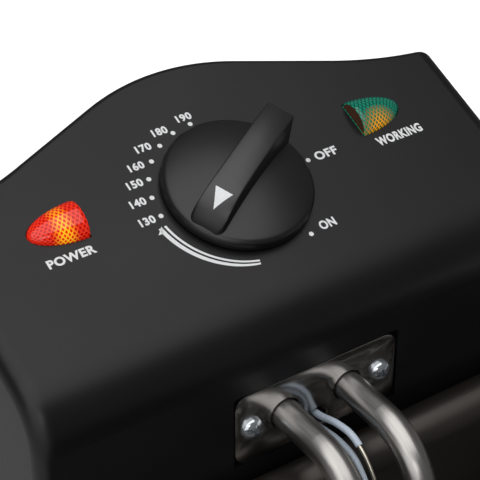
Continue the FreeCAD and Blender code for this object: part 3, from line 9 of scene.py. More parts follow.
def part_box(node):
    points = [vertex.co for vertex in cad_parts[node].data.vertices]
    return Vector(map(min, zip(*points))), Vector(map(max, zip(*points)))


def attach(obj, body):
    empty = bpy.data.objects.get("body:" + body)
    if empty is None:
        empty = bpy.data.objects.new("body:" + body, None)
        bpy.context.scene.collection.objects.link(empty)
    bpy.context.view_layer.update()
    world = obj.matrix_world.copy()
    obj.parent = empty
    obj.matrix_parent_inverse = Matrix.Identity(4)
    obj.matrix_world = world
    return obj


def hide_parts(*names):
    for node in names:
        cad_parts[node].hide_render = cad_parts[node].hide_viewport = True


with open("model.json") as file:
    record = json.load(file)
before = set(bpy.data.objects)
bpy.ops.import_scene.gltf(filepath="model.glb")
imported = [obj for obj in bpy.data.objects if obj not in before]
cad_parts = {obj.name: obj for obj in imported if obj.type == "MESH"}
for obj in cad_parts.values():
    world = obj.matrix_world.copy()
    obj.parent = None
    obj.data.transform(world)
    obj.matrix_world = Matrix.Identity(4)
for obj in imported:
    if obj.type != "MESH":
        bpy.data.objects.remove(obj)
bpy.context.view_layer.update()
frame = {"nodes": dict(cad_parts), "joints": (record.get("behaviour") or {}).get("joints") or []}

mm = 0.001


# Base tray and rubber feet
# The tray is a shallow moulding in black polypropylene that closes the casing from below.
# Four feet of soft rubber are pressed into its underside and keep the fryer from sliding.
class Wire:
    """One output of a node in a finish. Sums on it add Math nodes."""

    def __init__(self, tree, socket=None):
        self.tree = tree
        self.socket = socket

    def node(self, kind, settings=None, sockets=None, output=0):
        """Adds a node: its settings first, then the values or links of its sockets."""
        made = self.tree.nodes.new(kind)
        for name, value in (settings or {}).items():
            setattr(made, name, value)
        for name, value in (sockets or {}).items():
            if isinstance(value, Wire):
                self.tree.links.new(value.socket, made.inputs[name])
            else:
                made.inputs[name].default_value = value
        return Wire(self.tree, made.outputs[output])

    def sum(self, operation, *values):
        return self.node("ShaderNodeMath", {"operation": operation}, dict(enumerate(values)))

    def __add__(self, other):
        return self.sum("ADD", self, other)

    def __sub__(self, other):
        return self.sum("SUBTRACT", self, other)

    def __rsub__(self, other):
        return self.sum("SUBTRACT", other, self)

    def __mul__(self, other):
        return self.sum("MULTIPLY", self, other)

    __radd__ = __add__
    __rmul__ = __mul__

    def steep(self, low, high):
        """This value spread from 0 at low to 1 at high, and held there."""
        return self.node("ShaderNodeMapRange", {}, {"Value": self, "From Min": low, "From Max": high})

    def cloud(self, size, detail=2.0, stretch=(1.0, 1.0, 1.0)):
        """Noise with marks of one size, longer along an axis with a small stretch."""
        laid = self.node("ShaderNodeMapping", {}, {"Vector": self, "Scale": stretch})
        return self.node("ShaderNodeTexNoise", {}, {"Vector": laid, "Scale": 1 / size, "Detail": detail})

    def mix(self, low, high):
        """Colour between two others, by this value."""
        return self.node("ShaderNodeMix", {"data_type": "RGBA"}, {0: self, 6: low, 7: high}, 2)

    def ridges(self):
        """Sharp waves from 0 to 1, one for each whole step of this value."""
        return self.sum("PINGPONG", self, 0.5) * 2.0

    def about(self, middle, width):
        """This value, from 0 to 1, as a range of some width about a middle value."""
        return self * width + (middle - width / 2)

    def bump(self, depth, strength):
        return self.node("ShaderNodeBump", {}, {"Height": self, "Distance": depth, "Strength": strength})


def screen(red, green, blue):
    """Colour given as screen levels from 0 to 255."""
    return (*Color((red / 255, green / 255, blue / 255)).from_srgb_to_scene_linear(), 1.0)


def darker(colour, share):
    return (*(level * share for level in colour[:3]), 1.0)


def finish(name, colour, roughness, **constants):
    """New finish: its material, its shader and the piece's own coordinates."""
    material = bpy.data.materials.new(name)
    material.use_nodes = True
    shader = material.node_tree.nodes["Principled BSDF"]
    shader.inputs["Base Color"].default_value = colour
    shader.inputs["Roughness"].default_value = roughness
    for socket, value in constants.items():
        shader.inputs[socket.replace("_", " ")].default_value = value
    return material, shader, Wire(material.node_tree).node("ShaderNodeTexCoord", output="Object")


def feed(shader, **wires):
    """Links what changes over the surface to the shader."""
    for socket, wire in wires.items():
        wire.tree.links.new(wire.socket, shader.inputs[socket.replace("_", " ")])


def moulding(name, colour, roughness, grain=0.7 * mm, depth=0.03 * mm, **constants):
    """Moulded plastic: fine spark grain from the tool, and faint flow marks in its shine."""
    material, shader, place = finish(name, colour, roughness, **constants)
    flow = place.cloud(30 * mm)
    feed(shader,
         Base_Color=flow.mix(darker(colour, 0.8), colour),
         Roughness=flow.about(roughness, 0.12),
         Normal=place.cloud(grain, 3.0).bump(depth, 0.6))
    return material


def dress(material, *nodes):
    """Gives solids of the frame their finish."""
    for node in nodes:
        frame["nodes"][node].material_slots[0].material = material


dress(moulding("black_polypropylene", screen(34, 34, 35), 0.55, 1.2 * mm, 0.06 * mm), "base_tray")
dress(moulding("foot_rubber", screen(24, 24, 24), 0.85, 0.5 * mm, 0.05 * mm), "rubber_feet")


# Casing wall, guide bracket and rivets
# The wall is a band of stainless steel sheet, brushed along its length and closed behind.
# A galvanised bracket riveted to its back guides the control head up and down.
def brushed(name, colour, roughness, grain, depth=0.02 * mm, worn=0.82):
    """Brushed metal: hair lines that are short across the brush and long along it."""
    material, shader, place = finish(name, colour, roughness, Metallic=1.0)
    hair = place.cloud(0.35 * mm, 4.0, grain)
    hand = place.cloud(60 * mm)
    feed(shader,
         Base_Color=hair.mix(darker(colour, worn), colour),
         Roughness=hair.about(0.0, 0.14) + hand.about(roughness, 0.12),
         Normal=hair.bump(depth, 0.35))
    return material


def galvanised(name, colour, roughness, metal=1.0):
    """Zinc-coated steel: frosted patches in slightly different greys."""
    material, shader, place = finish(name, colour, roughness, Metallic=metal)
    frost = place.node("ShaderNodeTexVoronoi", {}, {"Vector": place, "Scale": 1 / (3.5 * mm)}, "Color")
    patch = place.node("ShaderNodeSeparateColor", {}, {"Color": frost})
    feed(shader,
         Base_Color=patch.mix(darker(colour, 0.8), colour),
         Roughness=patch.about(roughness, 0.16),
         Normal=place.cloud(0.4 * mm).bump(0.01 * mm, 0.5))
    return material


zinc = galvanised("bright_zinc", screen(238, 245, 253), 0.12, 0.9)
dress(brushed("brushed_casing_steel", screen(198, 197, 195), 0.3, (0.012, 0.012, 1.0)), "casing_wall")
dress(galvanised("galvanised_bracket", screen(168, 170, 172), 0.4), "guide_bracket")
dress(zinc, "guide_rivets")


# Casing screws and carry handles
# Zinc-plated pan-head screws hold the tray and the handles. The handles are moulded in
# black heat-proof plastic, one on each long side, with a hollow for the fingers.
def piece(name, shape, material, body, slot, *stands_for):
    """Finished mesh on its body, shown in place of the solids it stands for."""
    bmesh.ops.recalc_face_normals(shape, faces=shape.faces[:])
    mesh = bpy.data.meshes.new(name)
    shape.to_mesh(mesh)
    shape.free()
    mesh.shade_smooth()
    mesh.set_sharp_from_angle(angle=math.radians(38))
    mesh.materials.append(material)
    made = bpy.data.objects.new(name, mesh)
    bpy.context.scene.collection.objects.link(made)
    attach(made, body)
    if stands_for:
        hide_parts(*stands_for)


def grown(geometry):
    """Corners among the geometry that an extrusion gives back."""
    return [part for part in geometry if isinstance(part, bmesh.types.BMVert)]


screw_radius, screw_height, shank_radius = 3.2 * mm, 2.1 * mm, 1.5 * mm


def cross_screw(shape, seat, outward, turn, radius=screw_radius):
    """Pan-head screw: a domed head with a punched cross, on a short length of shank."""
    lines = (-0.93, -0.78, -0.58, -0.36, -0.13, 0.13, 0.36, 0.58, 0.78, 0.93)
    dome_fall, rim_level, shank_end, neck = 0.68, 0.2, -0.6, shank_radius / radius
    arm_half, arm_reach, punch_taper, punch_floor = 0.1, 0.55, 0.8, 0.1
    before = set(shape.verts)
    grid = bmesh.ops.create_grid(shape, x_segments=9, y_segments=9, size=1.0)["verts"]
    for corner in grid:
        across, along = (lines[round((value + 1) * 4.5)] for value in corner.co.xy)
        reach = max(abs(across), abs(along))
        corner.co = Vector((across, along, 0)) * reach / math.hypot(across, along)
        corner.co.z = 1.0 - dome_fall * reach ** 2
    top = {face for corner in grid for face in corner.link_faces}
    spots = {face: sorted(abs(value) for value in face.calc_center_median().xy) for face in top}
    cross = [face for face, (near, far) in spots.items() if near < arm_half and far < arm_reach]
    edge = [line for line in {line for corner in grid for line in corner.link_edges} if line.is_boundary]
    punched = grown(bmesh.ops.extrude_face_region(shape, geom=cross)["geom"])
    bmesh.ops.delete(shape, geom=cross, context="FACES")
    for corner in punched:
        corner.co = Vector((corner.co.x * punch_taper, corner.co.y * punch_taper, punch_floor))
    for width, level in ((1.0, rim_level), (1.0, 0.0), (neck, 0.0), (neck, shank_end)):
        ring = bmesh.ops.extrude_edge_only(shape, edges=edge)["geom"]
        edge = [part for part in ring if isinstance(part, bmesh.types.BMEdge) and part.is_boundary]
        for corner in grown(ring):
            flat = corner.co.xy.normalized() * width
            corner.co = (flat.x, flat.y, level)
    bmesh.ops.edgeloop_fill(shape, edges=edge)
    stand = Vector(outward).to_track_quat("Z", "Y").to_matrix().to_4x4()
    place = Matrix.Translation(seat) @ stand @ Matrix.Rotation(turn, 4, "Z")
    bmesh.ops.transform(shape, matrix=place @ Matrix.Diagonal((radius, radius, screw_height, 1.0)),
                        verts=[corner for corner in shape.verts if corner not in before])


for fixing in ("base_screws", "carry_handle_screws"):
    low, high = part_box(fixing)
    heads = bmesh.new()
    for side in (-1, 1):
        for count, y in enumerate((low.y + screw_radius, high.y - screw_radius)):
            seat = (side * (high.x - screw_height), y, (low.z + high.z) / 2)
            cross_screw(heads, seat, (side, 0, 0), 0.4 + 0.9 * count + 0.5 * side)
    piece("cross_" + fixing, heads, zinc, "casing", "zinc_steel", fixing)

dress(moulding("black_heatproof_plastic", screen(30, 30, 31), 0.42, 0.9 * mm, 0.04 * mm),
      "left_carry_handle", "right_carry_handle")


# Oil pan
# The pan is deep-drawn from one sheet, with a rolled rim, and coated inside and out with a
# dark warm-grey non-stick film that is sprayed on and baked, so it has a satin, faintly pebbled skin.
coat, coat_shader, place = finish("baked_pan_coat", screen(32, 29, 27), 0.36, IOR=1.75,
                                  Specular_Tint=screen(255, 244, 234))
spray = place.cloud(0.8 * mm, 3.0)
feed(coat_shader,
     Base_Color=place.cloud(25 * mm).mix(screen(26, 24, 22), screen(32, 29, 27)),
     Roughness=spray.about(0.36, 0.14),
     Normal=spray.bump(0.05 * mm, 0.5))
dress(coat, "oil_pan")


# Head shell and its bottom cover
# The head is one moulding in black satin plastic, with a rounded nose over the pan and a dip
# on each side of its crown. A flat cover closes it from below with four screws.
dress(moulding("satin_black_moulding", screen(17, 16, 18), 0.37, 0.55 * mm, 0.02 * mm, IOR=1.43),
      "head_shell")
dress(moulding("cover_plastic", screen(32, 32, 33), 0.55), "head_bottom_cover")
dress(zinc, "cover_screws")


# Lamps under the panel
# A neon tube lies under each lens, in a holder of grey nylon that clips on from inside.
dress(moulding("grey_nylon", screen(150, 150, 146), 0.5), "lamp_holders")
glass, glass_shader, place = finish("neon_glass", screen(255, 214, 186), 0.06, IOR=1.5,
                                    Emission_Strength=0.6)
feed(glass_shader, Emission_Color=place.cloud(4 * mm).mix(screen(255, 120, 40), screen(255, 170, 90)))
dress(glass, "neon_lamps")


# Indicator lenses
# Each lens is moulded in clear coloured plastic, smooth outside, with small pyramids inside that scatter the
# lamp's light. It is pushed up through the panel from inside. The lamp's light in it is painted light: the
# lens glows by its own emission, with a painted bright spot over the lamp that fades towards its back.
turning = next(joint for joint in frame["joints"] if joint["name"] == "knob_turn")
along_x = Vector((1, 0, 0))
off_panel = Vector(turning["axis"])
up_slope = off_panel.cross(along_x)
panel = Matrix.Translation(turning["pos_m"]) @ Matrix((along_x, up_slope, off_panel)).transposed().to_4x4()

lens_length, lens_half, lens_height, lens_skirt = 14.5 * mm, 5.5 * mm, 4.0 * mm, 2.4 * mm
lens_across, lens_up = 41.8 * mm, 6.9 * mm
lens_values = ("along", "around", "inner", "painted_glow")


def lens_form(side, lamp_at, spread_of_light, fade):
    """Quarter of an ellipsoid, flat towards the knob, with a skirt down into the panel."""
    edge_round, wall = 0.07, 0.03
    shape = bmesh.new()
    bmesh.ops.create_uvsphere(shape, u_segments=64, v_segments=48, radius=1.0,
                              matrix=Matrix.Rotation(math.pi / 2, 4, "Y"))
    for cut in ((-1, 0, 0), (0, 0, -1)):
        bmesh.ops.bisect_plane(shape, geom=shape.verts[:] + shape.edges[:] + shape.faces[:], dist=1e-5,
                               plane_co=(0, 0, 0), plane_no=cut, clear_outer=True)
        bmesh.ops.edgeloop_fill(shape, edges=[edge for edge in shape.edges if edge.is_boundary])
    bmesh.ops.recalc_face_normals(shape, faces=shape.faces[:])
    end = next(face for face in shape.faces if face.normal.x < -0.99)
    base = next(face for face in shape.faces if face.normal.z < -0.99)
    arch = [edge for edge in end.edges if base not in edge.link_faces]
    bmesh.ops.bevel(shape, geom=arch, offset=edge_round, offset_type="OFFSET", segments=3, profile=0.5,
                    affect="EDGES", material=-1)
    bmesh.ops.dissolve_degenerate(shape, dist=1e-4, edges=shape.edges[:])
    end = min(shape.faces, key=lambda face: face.normal.x)
    along, around, inner, painted_glow = (shape.verts.layers.float.new(name) for name in lens_values)
    bmesh.ops.inset_individual(shape, faces=[end], thickness=wall)
    for corner in end.verts:
        corner[inner] = 1.0
    for corner in shape.verts:
        corner[along] = corner.co.x
        corner[around] = math.atan2(max(corner.co.z, 0.0), -corner.co.y) / math.pi
        # Painted lamp light: brightest over the lamp, falling off along the lens and towards its back.
        near_lamp = math.exp(-((corner.co.x - lamp_at) / spread_of_light) ** 2)
        corner[painted_glow] = near_lamp * (1.15 - fade * corner[around])
    base = min(shape.faces, key=lambda face: face.normal.z)
    down = grown(bmesh.ops.extrude_face_region(shape, geom=[base])["geom"])
    bmesh.ops.delete(shape, geom=[base], context="FACES")
    bmesh.ops.translate(shape, vec=(0, 0, -lens_skirt / lens_height), verts=down)
    size = Matrix.Diagonal((side * lens_length, lens_half, lens_height, 1.0))
    spot = Matrix.Translation((side * lens_across, lens_up, 0))
    bmesh.ops.transform(shape, matrix=panel @ spot @ size, verts=shape.verts)
    return shape


def indicator(side, node, slot, light, cells, lines, inside):
    """Lens with painted glow: unlit colours and painted lamp-lit colours of the pyramids and of the seams
    between them, all shining as emission.
    """
    lit, shader, place = finish("lit_" + node, cells[0], 0.06, Emission_Strength=0.5)
    along, around, inner, painted_glow = (place.node("ShaderNodeAttribute", {"attribute_name": name}, {}, "Fac")
                                    for name in lens_values)
    rows, columns = along * 12.0, around * 8.0
    first, second = (rows + columns).ridges(), (rows - columns).ridges()
    seams = first.sum("MAXIMUM", first, second).steep(0.5, 0.95)
    # Painted glow: lamp-lit colours where it is strong, unlit colours elsewhere.
    glow = painted_glow.steep(0.15, 0.85)
    colour = inner.steep(0.5, 0.9).mix(seams.mix(glow.mix(*cells), glow.mix(*lines)), inside)
    # The lens shines its colour as emission, which is painted light of the neon lamp under it.
    feed(shader, Base_Color=colour, Emission_Color=colour)
    piece("lit_" + node, lens_form(side, *light), lit, "head", slot, node)


indicator(-1, "power_lens", "red_lens", (0.43, 0.17, 0.9), (screen(168, 6, 4), screen(220, 44, 8)),
          (screen(228, 50, 22), screen(255, 200, 30)), screen(140, 3, 8))
indicator(1, "working_lens", "green_lens", (0.36, 0.34, 1.9), (screen(16, 118, 94), screen(20, 78, 44)),
          (screen(0, 48, 40), screen(255, 164, 4)), screen(52, 30, 16))


# Thermostat, its shaft and the control knob
# The thermostat hangs under the panel on two screws. Its flatted shaft carries a moulded knob
# with a bar grip, glossier on top, and a white triangle printed on the nose of the bar.
dress(galvanised("thermostat_case", screen(176, 176, 172), 0.38), "thermostat_body")
dress(zinc, "thermostat_screws")
dress(brushed("turned_brass", screen(196, 160, 92), 0.3, (1.0, 0.1, 0.1)), "thermostat_shaft")

knob_radius, knob_crown, dome_radius, shoulder, knob_gap = 20.0, 6.8, 60.0, 2.0, 0.7
hollow_radius, hollow_height = 17.8, 3.5
bar_back, bar_height, bar_foot, bar_taper = -19.4, 13.0, 2.4, 0.105
foot_half, edge_round, corner_round = 5.0, 0.55, 2.8
slope_along, slope_radius, slope_turn, nose_radius = -6.0, 110.0, math.radians(7.5), 13.2
slope_low = bar_height - slope_radius
nose_along = slope_along + (slope_radius - nose_radius) * math.sin(slope_turn)
nose_low = slope_low + (slope_radius - nose_radius) * math.cos(slope_turn)
nose_last = math.acos((bar_foot - nose_low) / nose_radius)
bar_tip = nose_along + nose_radius * math.sin(nose_last)


def on_arc(along, low, radius, angle):
    """Point of a side view, on an arc that starts level and falls as the angle grows."""
    return along + radius * math.sin(angle), low + radius * math.cos(angle)


def spread(first, last, steps):
    return [first + (last - first) * step / steps for step in range(steps + 1)]


knob_shape = bmesh.new()
rim_tilt = math.asin((knob_radius - shoulder) / (dome_radius - shoulder))
rim_low = knob_crown - dome_radius + (dome_radius - shoulder) * math.cos(rim_tilt)
outline = [(0.0, hollow_height), (hollow_radius, hollow_height),
           (hollow_radius, knob_gap), (knob_radius, knob_gap)]
outline += [on_arc(knob_radius - shoulder, rim_low, shoulder, angle)
            for angle in spread(math.pi / 2, rim_tilt, 6)]
outline += [on_arc(0.0, knob_crown - dome_radius, dome_radius, angle)
            for angle in spread(rim_tilt, 0.0, 8)[1:]]
corners = [knob_shape.verts.new((reach, 0, height)) for reach, height in outline]
edges = [knob_shape.edges.new(pair) for pair in zip(corners, corners[1:])]
bmesh.ops.spin(knob_shape, geom=corners + edges, cent=(0, 0, 0), axis=(0, 0, 1), angle=2 * math.pi,
               steps=128, use_merge=True)
bmesh.ops.remove_doubles(knob_shape, verts=knob_shape.verts, dist=1e-4)

side_view = [(bar_back, bar_height)]
side_view += [on_arc(slope_along, slope_low, slope_radius, angle) for angle in spread(0.0, slope_turn, 6)]
side_view += [on_arc(nose_along, nose_low, nose_radius, angle)
              for angle in spread(slope_turn, nose_last, 24)[1:-1]]
rings = []
for along, height in side_view:
    past = max(0.0, along - bar_tip + corner_round)
    drawn_in = corner_round - math.sqrt(max(0.0, corner_round ** 2 - past ** 2))
    foot, top = (foot_half - drawn_in - bar_taper * (level - bar_foot) for level in (bar_foot, height))
    rings.append([knob_shape.verts.new((along, across, level)) for across, level in (
        (-foot, bar_foot), (-top, height), (top, height), (foot, bar_foot))])
for ring, after in zip(rings, rings[1:]):
    for one, two in ((0, 1), (1, 2), (2, 3), (3, 0)):
        knob_shape.faces.new((ring[one], ring[two], after[two], after[one]))
for cap in (rings[0], rings[-1]):
    knob_shape.faces.new(cap)
sides = [knob_shape.edges.get((ring[corner], after[corner]))
         for ring, after in zip(rings, rings[1:]) for corner in (1, 2)]
back = [knob_shape.edges.get((rings[0][one], rings[0][two])) for one, two in ((0, 1), (1, 2), (2, 3))]
bmesh.ops.recalc_face_normals(knob_shape, faces=knob_shape.faces[:])
bmesh.ops.bevel(knob_shape, geom=sides + back, offset=edge_round, offset_type="OFFSET", segments=2,
                profile=0.5, affect="EDGES", material=-1)
pointing = math.radians(-149.5)
on_knob = panel @ Matrix.Rotation(pointing, 4, "Z") @ Matrix.Scale(mm, 4)
bmesh.ops.transform(knob_shape, matrix=on_knob, verts=knob_shape.verts)
glossy_bar = moulding("knob_plastic", screen(18, 17, 18), 0.36, 0.5 * mm, 0.02 * mm, IOR=1.55,
                      Coat_Roughness=0.36)
place = Wire(glossy_bar.node_tree).node("ShaderNodeTexCoord", output="Object")
above = place.node("ShaderNodeVectorMath", {"operation": "DOT_PRODUCT"}, {0: place, 1: off_panel}, "Value")
on_top = (above - off_panel.dot(turning["pos_m"])).steep(7.5 * mm, 10.5 * mm)
feed(glossy_bar.node_tree.nodes["Principled BSDF"], Coat_Weight=on_top * 0.5)
piece("bar_knob", knob_shape, glossy_bar, "knob", "knob_plastic", "control_knob")

ink, ink_shader, place = finish("white_ink", screen(236, 237, 238), 0.6)
feed(ink_shader, Base_Color=place.cloud(0.5 * mm).mix(screen(226, 228, 230), screen(246, 247, 248)))
mark_back, mark_tip, mark_half = 11.5, 16.1, 2.45
ink_gap, ink_thickness = 0.01, 0.03
mark = bmesh.new()
mark.faces.new([mark.verts.new((along, across, 0)) for along, across in (
    (mark_back, mark_half), (mark_tip, 0.0), (mark_back, -mark_half))])
bmesh.ops.subdivide_edges(mark, edges=mark.edges[:], cuts=7, use_grid_fill=True)
for corner in mark.verts:
    corner.co.z = nose_low + math.sqrt(nose_radius ** 2 - (corner.co.x - nose_along) ** 2) + ink_gap
raised = grown(bmesh.ops.extrude_face_region(mark, geom=mark.faces[:])["geom"])
bmesh.ops.translate(mark, vec=(0, 0, ink_thickness), verts=raised)
bmesh.ops.transform(mark, matrix=on_knob, verts=mark.verts)
piece("knob_mark", mark, ink, "knob", "knob_plastic")


# Printing on the panel
# The scale, the words and the arc arrow are screen-printed on the panel in white ink. Where an
# outline of a letter crosses itself, the crossing is drawn together to one point.
def words(shape, text, left, right, low, high):
    """Letters of one line, fitted to a box on the panel in millimetres."""
    stroke, lift = 0.04, 0.9
    line = bpy.data.curves.new("line", "FONT")
    line.body = text
    line.offset = stroke
    line.extrude = 0.5
    line.space_character = 1.1
    line.resolution_u = 5
    carrier = bpy.data.objects.new("line", line)
    flat = bpy.data.meshes.new_from_object(carrier)
    spans = [(min(axis), max(axis)) for axis in zip(*(corner.co for corner in flat.vertices))]
    wide = (right - left) / (spans[0][1] - spans[0][0])
    tall = (high - low) / (spans[1][1] - spans[1][0])
    size = Matrix.Diagonal((wide, tall, ink_thickness, 1.0))
    fit = size @ Matrix.Translation((-spans[0][0], -spans[1][0], lift))
    flat.transform(panel @ Matrix.Scale(mm, 4) @ Matrix.Translation((left, low, 0)) @ fit)
    shape.from_mesh(flat)
    bpy.data.objects.remove(carrier)
    bpy.data.curves.remove(line)
    bpy.data.meshes.remove(flat)


scale_radius, dot_radius, scale_start, turn_per_degree = 22.6, 0.66, 180.3, 1.484


def dot(shape, angle):
    spot = Matrix.Rotation(math.radians(angle), 4, "Z") @ Vector((scale_radius, 0, ink_thickness / 2))
    bmesh.ops.create_cone(shape, cap_ends=True, segments=20, radius1=dot_radius * mm, radius2=dot_radius * mm,
                          depth=ink_thickness * mm, matrix=panel @ Matrix.Translation(spot * mm))


def arc_band(shape, head, tail):
    """Printed band from the arrow's head to its thin tail, each given as two radii."""
    start, end = math.radians(-172.2), math.radians(-106.6)
    ends = [shape.verts.new((radius * math.cos(start), radius * math.sin(start), 0)) for radius in head]
    rim = shape.edges.new(ends)
    bmesh.ops.spin(shape, geom=[rim], cent=(0, 0, 0), axis=(0, 0, 1), angle=end - start, steps=40)
    band = [corner for corner in shape.verts if any(abs(corner.co.length - radius) < 1e-3 for radius in head)]
    for corner in band:
        share = ((math.atan2(corner.co.y, corner.co.x) - start) / (end - start)) ** 2
        which = 0 if abs(corner.co.length - head[0]) < 1e-3 else 1
        corner.co = corner.co.normalized() * (head[which] + (tail[which] - head[which]) * share)


def polar(radius, angle):
    return Vector((radius * math.cos(math.radians(angle)), radius * math.sin(math.radians(angle)), 0))


print_shape = bmesh.new()
arc_band(print_shape, (23.12, 23.78), (22.42, 22.92))
arc_band(print_shape, (24.38, 25.52), (23.32, 23.82))
barb = ((24.38, -173.0), (26.6, -169.1), (25.4, -168.6), (24.38, -171.5))
print_shape.faces.new([print_shape.verts.new(polar(*spot)) for spot in barb])
thick = grown(bmesh.ops.extrude_face_region(print_shape, geom=print_shape.faces[:])["geom"])
band_gap, band_thickness = 0.004, 0.025
bmesh.ops.translate(print_shape, vec=(0, 0, band_thickness), verts=thick)
bmesh.ops.transform(print_shape, matrix=panel @ Matrix.Scale(mm, 4) @ Matrix.Translation((0, 0, band_gap)),
                    verts=print_shape.verts)
half_wide, half_tall = 2.2, 1.2
shifts = {130: (-4.0, 0.0), 140: (-4.1, 0.0), 150: (-4.1, 0.0), 160: (-4.5, 0.1),
          170: (-4.4, 1.0), 180: (-3.05, 1.8), 190: (-0.5, 2.6)}
for degrees, (across, up) in shifts.items():
    angle = scale_start - turn_per_degree * (degrees - 130)
    dot(print_shape, angle)
    middle = polar(scale_radius, angle) + Vector((across, up, 0))
    words(print_shape, str(degrees), middle.x - half_wide, middle.x + half_wide,
          middle.y - half_tall, middle.y + half_tall)
dot(print_shape, 0.6)
dot(print_shape, -63.0)
words(print_shape, "OFF", 24.9, 31.8, -0.95, 1.75)
words(print_shape, "ON", 13.6, 18.4, -20.35, -17.65)
words(print_shape, "POWER", -55.6, -42.5, -3.4, -0.8)
words(print_shape, "WORKING", 43.7, 58.4, -3.5, -0.6)
bmesh.ops.remove_doubles(print_shape, verts=print_shape.verts, dist=0.001 * mm)
bmesh.ops.collapse(print_shape, edges=[edge for edge in print_shape.edges if not edge.is_manifold])
piece("panel_print", print_shape, ink, "head", "black_plastic")


# Heating element and its flange
# The element is an 8 mm stainless tube bent into two loops. Its ends are pressed into a polished
# plate, which two cross-head screws hold against a gasket in the head's front face.
dress(brushed("satin_tube", screen(206, 203, 199), 0.33, (1.0, 0.03, 0.03), worn=0.5), "heating_element")

low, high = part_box("element_flange")
flange_corner, flange_edge = 4 * mm, 0.3 * mm
plate = bmesh.new()
plate_size = Matrix.Diagonal(((high.x - low.x) / 2, (high.z - low.z) / 2, 1.0, 1.0))
sheet = bmesh.ops.create_grid(plate, x_segments=1, y_segments=1, size=1.0, matrix=plate_size)["verts"]
bmesh.ops.bevel(plate, geom=sheet, offset=flange_corner, offset_type="OFFSET", segments=8, profile=0.5,
                affect="VERTICES", material=-1)
bmesh.ops.delete(plate, geom=plate.faces[:], context="FACES_ONLY")
for x, y, radius in ((-9.8, 0, 4.4), (9.8, 0, 4.4), (-20, 0, 1.6), (20, 0, 1.6), (0, -6.4, 3.2)):
    bmesh.ops.create_circle(plate, segments=40, radius=radius * mm,
                            matrix=Matrix.Translation((x * mm, y * mm, 0)))
bmesh.ops.triangle_fill(plate, edges=plate.edges[:], use_beauty=True, use_dissolve=False, normal=(0, 0, 1))
bmesh.ops.recalc_face_normals(plate, faces=plate.faces[:])
front = grown(bmesh.ops.extrude_face_region(plate, geom=plate.faces[:])["geom"])
bmesh.ops.translate(plate, vec=(0, 0, high.y - low.y), verts=front)
edges = [edge for edge in plate.edges if all(corner.co.z > 0 for corner in edge.verts)
         and edge.calc_face_angle(0.0) > 1.0]
bmesh.ops.bevel(plate, geom=edges, offset=flange_edge, offset_type="OFFSET", segments=2, profile=0.5,
                affect="EDGES", material=-1)
stand = Matrix.Translation((0, high.y, (low.z + high.z) / 2)) @ Matrix.Rotation(math.pi / 2, 4, "X")
bmesh.ops.transform(plate, matrix=stand, verts=plate.verts)
polished = brushed("polished_flange", screen(190, 189, 188), 0.2, (0.06, 1.0, 1.0), 0.002 * mm)
piece("bevelled_flange", plate, polished, "head", "flange_steel", "element_flange")

dress(moulding("gasket_rubber", screen(40, 40, 40), 0.8), "flange_gasket")
dress(brushed("ferrule_steel", screen(170, 168, 164), 0.28, (1.0, 0.2, 1.0)), "element_ferrules")
dress(moulding("white_ceramic", screen(226, 222, 212), 0.5), "ceramic_beads")
dress(zinc, "terminal_studs")
dress(brushed("brace_steel", screen(176, 174, 170), 0.34, (0.02, 1.0, 1.0)), "element_brace", "bulb_clips")

low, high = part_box("flange_screws")
flange_screw_radius = 3.0 * mm
heads = bmesh.new()
for side in (-1, 1):
    seat = (side * (high.x - screw_radius), low.y + screw_height, (low.z + high.z) / 2)
    cross_screw(heads, seat, (0, -1, 0), 0.55 - 0.45 * side, flange_screw_radius)
piece("cross_flange_screws", heads, zinc, "head", "zinc_steel", "flange_screws")


# Sensor lines and bulbs
# Thin steel capillaries run from the thermostat and the cut-out to copper bulbs on the brace.
# Where they pass the hot rim they wear sleeves of pale blue silicone.
dress(brushed("capillary_steel", screen(232, 224, 208), 0.36, (1.0, 1.0, 0.1)),
      "thermostat_capillary", "cutout_capillary")
dress(brushed("bulb_copper", screen(188, 122, 92), 0.34, (1.0, 0.05, 1.0)),
      "thermostat_bulb", "cutout_bulb")
sleeve, sleeve_shader, place = finish("pale_sleeve", screen(198, 210, 224), 0.4)
rib = place.cloud(0.6 * mm)
feed(sleeve_shader,
     Base_Color=rib.mix(screen(186, 200, 216), screen(208, 219, 232)),
     Normal=rib.bump(0.06 * mm, 0.6))
dress(sleeve, "thermostat_sleeve", "cutout_sleeve")


# Overheat cut-out, cord gland and the parts that are wired together inside the head
# The cut-out sits behind the crown, with a red reset button and a ring nut outside. The gland
# below it is where the mains cord goes in. The block and the snap switch stand on the cover.
dress(moulding("brown_bakelite", screen(74, 48, 34), 0.35), "thermal_cutout")
dress(moulding("reset_red", screen(176, 28, 22), 0.35), "reset_button")
dress(galvanised("nut_zinc", screen(190, 192, 195), 0.28), "cutout_nut", "gland_nut")
dress(moulding("gland_rubber", screen(27, 27, 27), 0.6), "cord_gland")
dress(moulding("block_ceramic", screen(222, 218, 206), 0.55), "terminal_block")
dress(moulding("switch_plastic", screen(38, 38, 40), 0.4), "interlock_switch")


# Frying basket
# The basket is bent and spot-welded from bright wire: hoops outside, and wires that run down
# one wall, across the floor and up the other. A heavy wire frames the rim.
wire_steel = brushed("basket_wire", screen(196, 195, 192), 0.26, (1.0, 1.0, 0.2))
low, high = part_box("basket_floor")
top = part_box("basket_front")[1].z
middle_y = (low.y + high.y) / 2
half_x, half_y = high.x, (high.y - low.y) / 2
corner_radius, pitch, wire, weld = 20 * mm, 6.25 * mm, 0.5 * mm, 0.5 * mm
below_rim, net_margin, first_hoop = 2 * mm, 8 * mm, 6 * mm


